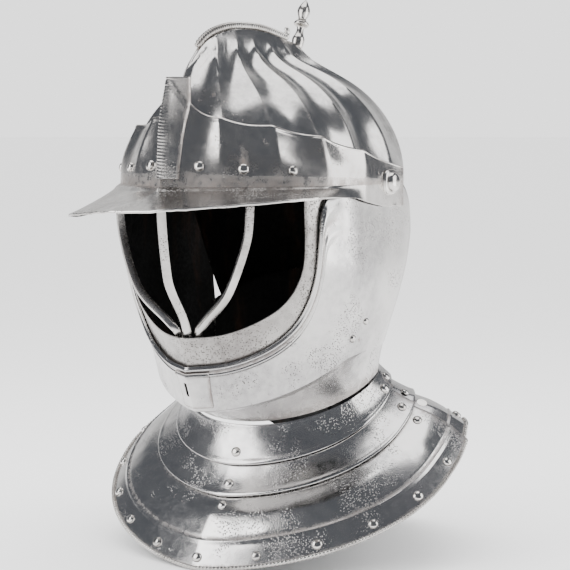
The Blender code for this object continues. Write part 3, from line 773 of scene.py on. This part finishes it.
def make_finishes():
    """Skull, visor, frame, bars, bevor, gorget, roping, rivets and the inside of the plates."""
    forged_steel("Polished steel of the skull", "CFCDCB", "AEABA9", 0.15, 0.25, 0.25, 0.0)
    forged_steel("Polished steel of the visor", "D2CFCC", "ADA9A6", 0.16, 0.40, 0.50, 3.1)
    forged_steel("Dull steel of the face frame", "ABA8A5", "7C7876", 0.24, 0.95, 0.40, 5.7)
    forged_steel("Filed steel of the bars", "C6C3C0", "94908D", 0.19, 0.60, 0.40, 7.3)
    forged_steel("Polished steel of the bevor", "CDCBC9", "A3A1A1", 0.15, 0.60, 0.30, 11.9)
    forged_steel("Polished steel of the gorget", "D4D2D0", "B2B0B1", 0.15, 0.50, 0.35, 17.2)
    forged_steel("Filed roping", "CFCCC8", "8B8580", 0.22, 0.40, 0.65, 21.4)
    forged_steel("Burnished rivet heads", "DAD7D3", "ADA9A5", 0.13, 0.20, 0.35, 26.8)
    dark_scale_and_painted_shade("Blackened inside of the plates", "070707", "24150D")


class HelmetShape(bpy.types.PropertyGroup):
    """Sizes of the plates, roping and rivets."""

    wall: FloatProperty(name="Plate wall", description="Thickness of every plate",
                        default=0.0018, unit="LENGTH")
    flute_depth: FloatProperty(name="Flute depth", description="Depth of a hollow between two ridges",
                               default=0.0042, unit="LENGTH")
    rope_pitch: FloatProperty(name="Rope pitch", description="Distance between two notches of the roping",
                              default=0.0029, unit="LENGTH")
    rope_depth: FloatProperty(name="Rope depth", description="Depth of a notch, as a share of the radius",
                              default=0.34)
    rivet_radius: FloatProperty(name="Rivet radius", description="Radius of a large rivet head",
                                default=0.0040, unit="LENGTH")
    rivet_height: FloatProperty(name="Rivet height", description="Height of a large rivet head",
                                default=0.0028, unit="LENGTH")
    small_rivet: FloatProperty(name="Small rivet share",
                               description="Size of a cheek rivet beside a large one", default=0.75)


class HelmetStudio(bpy.types.PropertyGroup):
    """Camera, lights and floor."""

    turn: FloatProperty(name="Camera turn", description="Angle round from the front of the face",
                        default=math.radians(33), subtype="ANGLE")
    rise: FloatProperty(name="Camera rise", description="Angle of the camera above the helmet's middle",
                        default=math.radians(4.9), subtype="ANGLE")
    distance: FloatProperty(name="Camera distance", description="From the camera to the helmet's middle",
                            default=1.60, unit="LENGTH")
    view_width: FloatProperty(name="View width", description="Width of the picture at the helmet",
                              default=0.4565, unit="LENGTH")
    aim_right: FloatProperty(name="Aim to the right", description="How far right of the origin it aims",
                             default=0.0191, unit="LENGTH")
    aim_height: FloatProperty(name="Aim height", description="Height that the camera aims at",
                              default=0.2143, unit="LENGTH")
    paper: FloatVectorProperty(name="Paper colour", description="Colour of the floor and backdrop",
                               default=linear("F4F4F4"), subtype="COLOR", min=0.0, max=1.0)
    room: FloatProperty(name="Room light", description="Strength of the even light on the paper",
                        default=2.2)
    sky: FloatProperty(name="Mirrored room", description="Strength of the room as the steel mirrors it",
                       default=1.0)
    key_power: FloatProperty(name="Left softbox", description="Power of the softbox left of the camera",
                             default=16.0, unit="POWER")
    rim_power: FloatProperty(name="Right softbox", description="Power of the softbox on the right",
                             default=12.0, unit="POWER")
    top_power: FloatProperty(name="Overhead softbox", description="Power of the softbox above",
                             default=14.0, unit="POWER")


def finish(name):
    return bpy.data.materials[name]


def edge_dirt_and_shade(across, up, side_reach=0.012, end_reach=0.03):
    """Dirt and painted shade gathered along the edges of a plate, 1 at the very edge."""
    side = min(across, 1 - across) / side_reach
    end = min(up, 1 - up) / end_reach
    return 0.45 * (1 - smooth(min(side, end)))


class HELMET_OT_skull(bpy.types.Operator):
    """Fluted bowl with its high comb, down to the nape"""

    bl_idname = "helmet.skull"
    bl_label = "Skull"

    def execute(self, context):
        skirt_share = 0.16

        def place(across, up, inside):
            angle = mix(-180, 180, across)
            if up < skirt_share:
                return skirt_point(angle, 1 - up / skirt_share, inside)
            level = max(0.0, math.cos(math.pi / 2 * (up - skirt_share) / (1 - skirt_share))) ** 1.6
            spot = skull_point(angle, 0.0 if up > 0.9999 else level, 0.0, inside)
            crest = BROW_Z + crown_line(spot.y) + comb_rise(comb_y(angle))
            band = smooth((COMB_BAND - (crest - spot.z)) / 0.0015) * smooth((0.055 - spot.y) / 0.02)
            if abs(spot.x) > 1e-5:
                spot.x += math.copysign(COMB_WELT * band, spot.x)
            return spot

        # Painted shade along the flute ridges, none on the skirt and fading out towards the comb
        def grime_and_shade(across, up):
            ridge = 1 - smooth(flute(mix(-180, 180, across)) / 0.16)
            return 0.30 * ridge * smooth((up - 0.2) / 0.2) * (1 - up)

        steel = finish("Polished steel of the skull")
        skull = plate("skull_bowl", 16 * FLUTES, 62, place, steel, grime_and_shade=grime_and_shade)
        set_apart(skull, SKULL_BODY, ["skull"])
        return {"FINISHED"}


def comb_path():
    """Middle of the comb's rolled edge, as a dense row of points from front to back."""
    stations = [mix(comb_y(5.6), comb_y(129.5), k / 80) for k in range(81)]
    path = [Vector((0, y, BROW_Z + crown_line(y) + comb_rise(y) + apex_rise(0, y))) for y in stations]
    raised = []
    for i, p in enumerate(path):
        along = (path[min(i + 1, 80)] - path[max(i - 1, 0)]).normalized()
        raised.append(p + Vector((0, -along.z, along.y)) * (COMB_ROLL_RADIUS + ROLL_SEAT))
    end = raised[-1]
    return raised + [end + Vector((0, y, z)) for y, z in COMB_ROLL_CURL]


class HELMET_OT_comb_roll(bpy.types.Operator):
    """Roped edge rolled over the top of the comb"""

    bl_idname = "helmet.comb_roll"
    bl_label = "Comb roll"

    def execute(self, context):
        points = comb_path()
        length = sum((b - a).length for a, b in zip(points, points[1:]))
        roll = rope("comb_rope", lambda share: Vector(curve_through(points, share)), length,
                    COMB_ROLL_RADIUS * 1.05)
        set_apart(roll, SKULL_BODY, ["comb_roll"])
        return {"FINISHED"}


class HELMET_OT_finial(bpy.types.Operator):
    """Turned finial behind the comb, with its ring, waist and bud"""

    bl_idname = "helmet.finial"
    bl_label = "Finial"

    def execute(self, context):
        profile = ((0.0, -0.008), (0.0040, -0.006), (0.0050, -0.001), (0.0050, 0.0024), (0.0036, 0.0055),
                   (0.0028, 0.0095), (0.0034, 0.0122), (0.0058, 0.0136), (0.0061, 0.0156), (0.0046, 0.0172),
                   (0.0033, 0.0190), (0.0044, 0.0222), (0.0053, 0.0252), (0.0048, 0.0286), (0.0030, 0.0322),
                   (0.0016, 0.0344), (0.0, 0.0360))
        tilt = math.radians(FINIAL_TILT)
        axis = Vector((0, math.sin(tilt), math.cos(tilt)))
        foot = Vector((0, COMB_END_Y, BROW_Z + crown_line(COMB_END_Y) + APEX_LIFT))
        foot += SHIFT + axis * FINIAL_STAND

        def petals(turn, share):
            if not 0.55 < share < 0.95:
                return 1.0
            return 1 - 0.10 * abs(math.sin(4 * math.pi * turn)) * math.sin(math.pi * (share - 0.55) / 0.4)

        finial = spun("finial_bud", profile, 32, 64, foot, axis, finish("Burnished rivet heads"), petals)
        set_apart(finial, SKULL_BODY, ["finial"])
        return {"FINISHED"}


class HELMET_OT_visor(bpy.types.Operator):
    """Scalloped fluted visor with its broad peak, and the folded keel plate over its middle"""

    bl_idname = "helmet.visor"
    bl_label = "Visor"

    def execute(self, context):
        peak_share = 0.36

        def place(across, up, inside):
            angle = mix(-VISOR_END, VISOR_END, across)
            if up <= peak_share:
                share = 1 - up / peak_share
                spot = peak_point(angle, share, inside)
                bead = PEAK_BEAD * bump(share, 0.07, 0.045)
                frayed = PEAK_FRAY * noise.noise(Vector((angle * 0.35, 3.0, 0))) * share ** 6
                away = Vector((spot.x, spot.y, 0)).normalized()
                return spot + away * frayed + Vector((0, 0, bead + frayed))
            height = mix(VISOR_FOOT, 1.0, (up - peak_share) / (1 - peak_share))
            spot = visor_point(angle, height, inside)
            lip = VISOR_LIP * bump(height, 0.965, 0.022)
            return spot + Vector((spot.x, spot.y - CROWN_Y * 0.5, spot.z - BROW_Z)).normalized() * lip

        # Painted shade in the crease where the peak meets the visor, along the upper edge and the side
        # edges, and a dark streak at 31 degrees half way up
        def grime_and_shade(across, up):
            angle = mix(-VISOR_END, VISOR_END, across)
            crease = 0.55 * bump(up, peak_share, 0.018)
            edge = 0.5 * (1 - smooth((1 - up) / 0.02))
            streak = 0.8 * bump(angle, 31.0, 1.4) * bump(up, 0.56, 0.13)
            return max(crease, edge, streak, edge_dirt_and_shade(across, 0.5))

        steel = finish("Polished steel of the visor")
        visor = plate("visor_plate", 140, 64, place, steel, grime_and_shade=grime_and_shade)
        set_apart(visor, VISOR_BODY, ["visor"])

        tree = tree_of(visor)
        top = visor_point(0.0, 1.0, 0.0).z
        wall = context.scene.helmet_shape.wall
        reach = {}

        def keel(across, up, inside):
            k = 2 * across - 1
            z = mix(BROW_Z + KEEL_FOOT, top + KEEL_HEAD, up)
            start = Vector((k * KEEL_PLATE_HALF, -PEAK_FRONT * 2, z)) + SHIFT
            hit = tree.ray_cast(start, Vector((0, 1, 0)))[0]
            spot = reach.get(round(across, 3), -0.12) if hit is None else hit.y - SHIFT.y
            reach[round(across, 3)] = spot
            fold = (1 - abs(k)) ** 0.8
            bend = KEEL_PLATE_DEPTH * fold * mix(0.55, 1.0, up)
            wave = math.cos(2 * math.pi * (z / KEEL_NOTCH_PITCH + abs(k) * 1.2))
            notch = KEEL_NOTCH * wave * bump(k, 0.0, 0.22)
            y = spot - SEAT - wall - EASE - bend - notch
            return Vector((k * KEEL_PLATE_HALF, y + inside, z))

        # Painted shade and dirt along the keel plate's sides
        folded = plate("keel_fold", 24, 96, keel, steel,
                       grime_and_shade=lambda across, up: edge_dirt_and_shade(across, 0.5, 0.08) * 1.2)
        set_apart(folded, VISOR_BODY, ["keel_plate"])
        return {"FINISHED"}


class HELMET_OT_face(bpy.types.Operator):
    """Rim of the face opening and the three bars that close it"""

    bl_idname = "helmet.face"
    bl_label = "Face frame and bars"

    def execute(self, context):
        # The frame is darkened towards its outer edge with painted shade where it lies behind the bevor's
        # and the visor's edges
        rim = plate("face_rim", 168, 14, lambda across, up, inside: frame_point(2 * across - 1, up, inside),
                    finish("Dull steel of the face frame"),
                    grime_and_shade=lambda across, up: 0.45 * (1 - smooth(up / 0.25)))
        set_apart(rim, VISOR_BODY, ["face_frame"])

        depth = FRAME_INSET + context.scene.helmet_shape.wall + BAR_RADIUS + SEAT
        steel = finish("Filed steel of the bars")

        def ridged(radius, length):
            def section(turn, share):
                angle = 2 * math.pi * turn
                c, s = math.cos(angle), math.sin(angle)
                reach = radius * (abs(c) ** 1.35 + abs(s) ** 1.35) ** (-1 / 1.35) * 1.06
                reach *= round_end(share, length, radius)
                return reach * c * 1.08, reach * s
            return section

        for side, word in ((1, "left"), (-1, "right")):
            def path(share):
                wide, reach, height = curve_through(SIDE_BAR, share)
                front = face_plan(0.0, height, 0.0).y
                return Vector((side * wide * FACE_HALF_WIDTH, front * reach + depth * 0.4,
                               mix(CHIN_Z, BROW_Z, height)))
            bar = rod(f"face_bar_{word}", 20, 90, path, ridged(BAR_RADIUS, 0.13), steel)
            set_apart(bar, VISOR_BODY, [f"bar_{word}"])

        def middle(share):
            spot = face_plan(0.0, mix(BAR_TOP, BAR_FOOT, share), 0.0)
            set_back = depth * mix(MIDDLE_BAR_TOP_SET, MIDDLE_BAR_FOOT_SET, smooth((share * 8 - 4) / 3))
            return Vector((0, spot.y + set_back, spot.z))

        bar = rod("face_bar_middle", 20, 80, middle, ridged(BAR_RADIUS * 1.06, 0.11), steel)
        set_apart(bar, VISOR_BODY, ["bar_middle"])
        return {"FINISHED"}


class HELMET_OT_bevor(bpy.types.Operator):
    """Bevor with its double border, and the slotted plate over its keel"""

    bl_idname = "helmet.bevor"
    bl_label = "Bevor"

    def execute(self, context):
        steel = finish("Polished steel of the bevor")
        wall = context.scene.helmet_shape.wall

        def place(across, up, inside):
            return bevor_point(mix(-BEVOR_END, BEVOR_END, across), 1 - up, inside)

        # Painted shade in the groove between the border's two ridges, at the foot where it meets the
        # gorget, and along the side edges
        def grime_and_shade(across, up):
            share = 1 - up
            groove = 0.55 * bump(share, 0.10, 0.02) * ridge_fade(mix(-BEVOR_END, BEVOR_END, across))
            return max(groove, 0.45 * bump(share, 0.99, 0.05), edge_dirt_and_shade(across, 0.5))

        def catch_hole(across, up):
            return -4.2 < mix(-BEVOR_END, BEVOR_END, across) < -1.2 and 0.28 < 1 - up < 0.45

        bevor = plate("bevor_plate", 200, 84, place, steel, holes=catch_hole, grime_and_shade=grime_and_shade)
        set_apart(bevor, BEVOR_BODY, ["bevor"])

        def over_keel(across, up, inside):
            k = 2 * across - 1
            spot = bevor_point(k * CATCH_HALF_TURN, mix(0.64, 0.10, up), 0.0)
            out = Vector((k * 0.4, -1, 0)).normalized()
            return spot + out * (CATCH_STAND + (wall - inside) * CATCH_WALL_SHARE)

        def slot(across, up):
            return 0.28 < across < 0.42 and 0.34 < up < 0.70

        # Painted shade and dirt along all four edges of the plate standing over the keel
        chin = plate("chin_catch", 24, 30, over_keel, steel, holes=slot,
                     grime_and_shade=lambda across, up: edge_dirt_and_shade(across, up, 0.10, 0.06) * 1.4)
        set_apart(chin, BEVOR_BODY, ["chin_plate"])
        return {"FINISHED"}


class HELMET_OT_gorget(bpy.types.Operator):
    """Lames and plates of the gorget, front and rear, with their roped rims"""

    bl_idname = "helmet.gorget"
    bl_label = "Gorget"

    def lame(self, node, body, start, end, top, bottom, layer, rows):
        is_plate = node.endswith("plate")

        def place(across, up, inside):
            angle, way = wrap(mix(start, end, across)), mix(bottom, top, up)
            if is_plate:
                relief = PLATE_LINE * (bump(way, 0.815, 0.012) - 0.6 * bump(way, 0.79, 0.010))
            else:
                relief = LAME_LIP * bump(up, 0.07, 0.05)
            return gorget_point(angle, way, layer - inside + relief)

        # Painted shade where a plate's top edge lies under the lame above, in the groove of the line,
        # beside the roped rim and along the ends
        def grime_and_shade(across, up):
            way = mix(bottom, top, up)
            under = 0.65 * (1 - smooth((1 - up) / 0.16)) if is_plate or "2" in node else 0.0
            line = 0.45 * bump(way, 0.79, 0.014) if is_plate else 0.0
            rim = 0.5 * smooth((way - 0.955) / 0.03)
            return max(under, line, rim, edge_dirt_and_shade(across, 0.5, 0.02))

        steel = finish("Polished steel of the gorget")
        piece = plate(f"{node}_steel", 150, rows, place, steel, grime_and_shade=grime_and_shade)
        return set_apart(piece, body, [node])

    def rim(self, name, body, start, end, layer):
        angles = [mix(start, end, k / 120) for k in range(121)]
        points = [gorget_point(wrap(a), RIM_ROPE_WAY, layer + RIM_ROPE_LIFT) for a in angles]
        length = sum((b - a).length for a, b in zip(points, points[1:]))
        piece = rope(name, lambda share: Vector(curve_through(points, share)), length, RIM_ROPE_RADIUS,
                     across=Vector((0, 0, 1)))
        return set_apart(piece, body)

    def execute(self, context):
        spans = (("lame_1", 0.0, 0.20, 2, 14), ("lame_2", 0.16, 0.42, 1, 16), ("plate", 0.37, 1.0, 0, 60))
        for name, top, bottom, layer, rows in spans:
            self.lame("front_" + name, BEVOR_BODY, -FRONT_END, FRONT_END, top, bottom, LAP * layer, rows)
        spans = (("lame_1", COLLAR_TOP, 0.20, 2, 20), ("lame_2", 0.17, 0.42, 1, 16),
                 ("plate", 0.37, 1.0, 0, 60))
        for name, top, bottom, layer, rows in spans:
            self.lame("rear_" + name, SKULL_BODY, REAR_START, 360 - REAR_START, top, bottom,
                      LAP * layer - REAR_DROP, rows)
        self.rim("front_rim_rope", BEVOR_BODY, -FRONT_END + 1, FRONT_END - 1, 0.0)
        self.rim("rear_rim_rope", SKULL_BODY, REAR_START + 1, 359 - REAR_START, -REAR_DROP)
        return {"FINISHED"}


class HELMET_OT_rivets(bpy.types.Operator):
    """Domed rivet heads, one modelled and the rest copied to their places on the plates"""

    bl_idname = "helmet.rivets"
    bl_label = "Rivets"

    carriers = (("brow_", "visor_plate", VISOR_BODY), ("cheek_", "bevor_plate", BEVOR_BODY),
                ("front_rim", "front_plate_steel", BEVOR_BODY),
                ("rear_rim", "rear_plate_steel", SKULL_BODY))

    def carrier(self, node):
        """Plate that a rivet sits on, and its body."""
        for start, plate_name, body in self.carriers:
            if node.startswith(start):
                return plate_name, body
        part = ("lame_1", "lame_2", "plate")[int(node[-1]) - 1]
        front = node.startswith("front")
        return f"{'front' if front else 'rear'}_{part}_steel", BEVOR_BODY if front else SKULL_BODY

    def model_head(self, shape):
        """Hand-set dome: a flat circle drawn up in steps, then smoothed."""
        deselect()
        bpy.ops.mesh.primitive_circle_add(vertices=20, radius=shape.rivet_radius, fill_type="NGON")
        head = bpy.context.active_object
        bpy.ops.object.mode_set(mode="EDIT")
        bpy.ops.mesh.select_all(action="SELECT")
        width, height = 1.0, 0.0
        dome = ((0.985, 0.24), (0.93, 0.46), (0.82, 0.68), (0.66, 0.84), (0.45, 0.95), (0.22, 0.995))
        for share, up in dome:
            rise = (up - height) * shape.rivet_height
            bpy.ops.mesh.extrude_region_move(TRANSFORM_OT_translate={"value": (0, 0, rise)})
            bpy.ops.transform.resize(value=(share / width, share / width, 1))
            width, height = share, up
        bpy.ops.mesh.select_all(action="SELECT")
        bpy.ops.mesh.normals_make_consistent(inside=False)
        bpy.ops.object.mode_set(mode="OBJECT")
        return head

    def execute(self, context):
        shape = context.scene.helmet_shape
        head = self.model_head(shape)
        trees = {}
        nodes = sorted(row["node"] for row in frame["record"]["subparts"] if "rivet" in row["node"])
        for count, node in enumerate(nodes):
            carrier, body = self.carrier(node)
            if carrier not in trees:
                trees[carrier] = tree_of(bpy.data.objects[carrier])
            low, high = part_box(node)
            middle = (Vector(low) + Vector(high)) / 2
            spot, normal = trees[carrier].find_nearest(middle)[:2]
            if normal.dot(middle - spot) < 0:
                normal = -normal
            size = shape.small_rivet if node.startswith("cheek") else 1.0
            size *= 1 + 0.06 * math.sin(count * 2.4)
            turn = normal.to_track_quat("Z", "Y").to_matrix().to_4x4()
            spin = Matrix.Rotation(count * 1.7, 4, "Z")
            rivet = head.copy()
            rivet.data = head.data.copy()
            rivet.name = rivet.data.name = node.replace("rivet", "head")
            context.scene.collection.objects.link(rivet)
            stand = Matrix.Translation(spot - normal * RIVET_SINK)
            rivet.data.transform(stand @ turn @ spin @ Matrix.Scale(size, 4))
            for v in rivet.data.vertices:
                v.co += normal * 0.0001 * noise.noise(v.co * 420)
            rivet.data.materials.append(finish("Burnished rivet heads"))
            smooth_faces(rivet, 60)
            set_apart(rivet, body, [node])
        bpy.data.objects.remove(head, do_unlink=True)
        return {"FINISHED"}


class HELMET_OT_pivots(bpy.types.Operator):
    """Pivot bolts at the temples, each a dome on a petalled washer"""

    bl_idname = "helmet.pivots"
    bl_label = "Pivots"

    def execute(self, context):
        profile = ((0.0, -0.0006), (0.0104, -0.0004), (0.0108, 0.0004), (0.0104, 0.0013), (0.0092, 0.0019),
                   (0.0080, 0.0022), (0.0078, 0.0034), (0.0070, 0.0048), (0.0054, 0.0060), (0.0030, 0.0066),
                   (0.0, 0.0068))

        def petals(turn, share):
            return 1 - 0.10 * math.sin(4 * math.pi * turn) ** 2 if share < 0.46 else 1.0

        for side, word in ((1, "left"), (-1, "right")):
            low, high = (Vector(corner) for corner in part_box(f"pivot_{word}"))
            middle = (low + high) / 2
            foot = Vector((side * (min(abs(low.x), abs(high.x)) - BOLT_SINK), middle.y, middle.z))
            bolt = spun(f"pivot_bolt_{word}", profile, 48, 40, foot, Vector((side, 0, 0)),
                        finish("Burnished rivet heads"), petals)
            set_apart(bolt, VISOR_BODY, [f"pivot_{word}"])
        return {"FINISHED"}


class HELMET_OT_stage(bpy.types.Operator):
    """Pale paper floor and backdrop, softboxes and the camera"""

    bl_idname = "helmet.stage"
    bl_label = "Studio"

    def softbox(self, name, spot, size, power, aim):
        deselect()
        bpy.ops.object.light_add(type="AREA", location=spot)
        light = bpy.context.active_object
        light.name = name
        light.data.shape = "RECTANGLE"
        light.data.size, light.data.size_y = size
        light.data.energy = power
        light.rotation_euler = (Vector(aim) - Vector(spot)).to_track_quat("-Z", "Y").to_euler()

    def execute(self, context):
        studio = context.scene.helmet_studio
        across = Vector((math.cos(studio.turn), math.sin(studio.turn), 0))
        back = Vector((-math.sin(studio.turn), math.cos(studio.turn), 0))

        deselect()
        bpy.ops.mesh.primitive_circle_add(vertices=96, radius=PAPER_RADIUS, fill_type="NGON")
        floor = context.active_object
        floor.name = "paper_floor"
        studio_paper("Seamless paper", studio.paper)
        floor.data.materials.append(finish("Seamless paper"))

        aim = across * studio.aim_right + Vector((0, 0, studio.aim_height))
        middle = (0, 0, 0.22)
        self.softbox("left_softbox", across * -1.1 - back * 0.5 + Vector((0, 0, 0.75)), (0.9, 1.1),
                     studio.key_power, middle)
        self.softbox("right_softbox", across * 1.2 - back * 0.15 + Vector((0, 0, 0.55)), (0.9, 1.2),
                     studio.rim_power, middle)
        self.softbox("overhead_softbox", Vector((0, 0, 1.5)) + back * 0.2, (1.4, 1.0),
                     studio.top_power, middle)

        world = bpy.data.worlds.new("Even room light")
        context.scene.world = world
        world.use_nodes = True
        tree = world.node_tree
        sky = tree.nodes["Background"]
        looking = add_node(tree, "TexCoord")["Generated"]
        away = add_node(tree, "VectorMath", (looking, back), operation="DOT_PRODUCT")["Value"]
        bright = add_node(tree, "MapRange", (away, 0.72, 0.86), **SOFT_EDGE)[0]
        mirrored = {0: bright, 6: rgba("5C6067"), 7: rgba("FFFFFF")}
        mirrored = add_node(tree, "Mix", mirrored, data_type="RGBA")[2]
        ray = add_node(tree, "LightPath")
        plain = {0: ray["Is Camera Ray"], 6: rgba("FFFFFF"), 7: rgba("F4F4F4")}
        plain = add_node(tree, "Mix", plain, data_type="RGBA")[2]
        glossy = ray["Is Glossy Ray"]
        tree.links.new(add_node(tree, "Mix", {0: glossy, 6: plain, 7: mirrored}, data_type="RGBA")[2],
                       sky.inputs["Color"])
        strength = (glossy, 0.0, 1.0, studio.room, studio.sky)
        tree.links.new(add_node(tree, "MapRange", strength, **SOFT_EDGE)[0], sky.inputs["Strength"])

        toward = -back * math.cos(studio.rise) + Vector((0, 0, math.sin(studio.rise)))
        deselect()
        bpy.ops.object.camera_add(location=aim + toward * studio.distance)
        camera = context.active_object
        camera.rotation_euler = (-toward).to_track_quat("-Z", "Y").to_euler()
        camera.data.sensor_width = SENSOR_WIDTH
        camera.data.lens = SENSOR_WIDTH * studio.distance / studio.view_width
        camera.data.clip_end = PAPER_RADIUS
        context.scene.camera = camera
        return {"FINISHED"}


PIECES = (HELMET_OT_skull, HELMET_OT_comb_roll, HELMET_OT_finial, HELMET_OT_visor, HELMET_OT_face,
          HELMET_OT_bevor, HELMET_OT_gorget, HELMET_OT_rivets, HELMET_OT_pivots, HELMET_OT_stage)


class HELMET_PT_panel(bpy.types.Panel):
    """Sizes, studio and one button for each group of pieces"""

    bl_idname = "HELMET_PT_panel"
    bl_label = "Cuirassier Helmet"
    bl_space_type = "VIEW_3D"
    bl_region_type = "UI"
    bl_category = "Helmet"

    def draw(self, context):
        for group in (context.scene.helmet_shape, context.scene.helmet_studio):
            for key in group.__annotations__:
                self.layout.prop(group, key)
        for piece in PIECES:
            self.layout.operator(piece.bl_idname)


CLASSES = (HelmetShape, HelmetStudio, *PIECES, HELMET_PT_panel)


def register():
    for cls in CLASSES:
        bpy.utils.register_class(cls)
    bpy.types.Scene.helmet_shape = PointerProperty(type=HelmetShape)
    bpy.types.Scene.helmet_studio = PointerProperty(type=HelmetStudio)


def unregister():
    del bpy.types.Scene.helmet_studio
    del bpy.types.Scene.helmet_shape
    for cls in reversed(CLASSES):
        bpy.utils.unregister_class(cls)


def main():
    register()
    make_finishes()
    bpy.ops.helmet.stage()
    bpy.ops.helmet.skull()
    bpy.ops.helmet.comb_roll()
    bpy.ops.helmet.finial()
    bpy.ops.helmet.visor()
    bpy.ops.helmet.face()
    bpy.ops.helmet.bevor()
    bpy.ops.helmet.gorget()
    bpy.ops.helmet.rivets()
    bpy.ops.helmet.pivots()


if __name__ == "__main__":
    main()
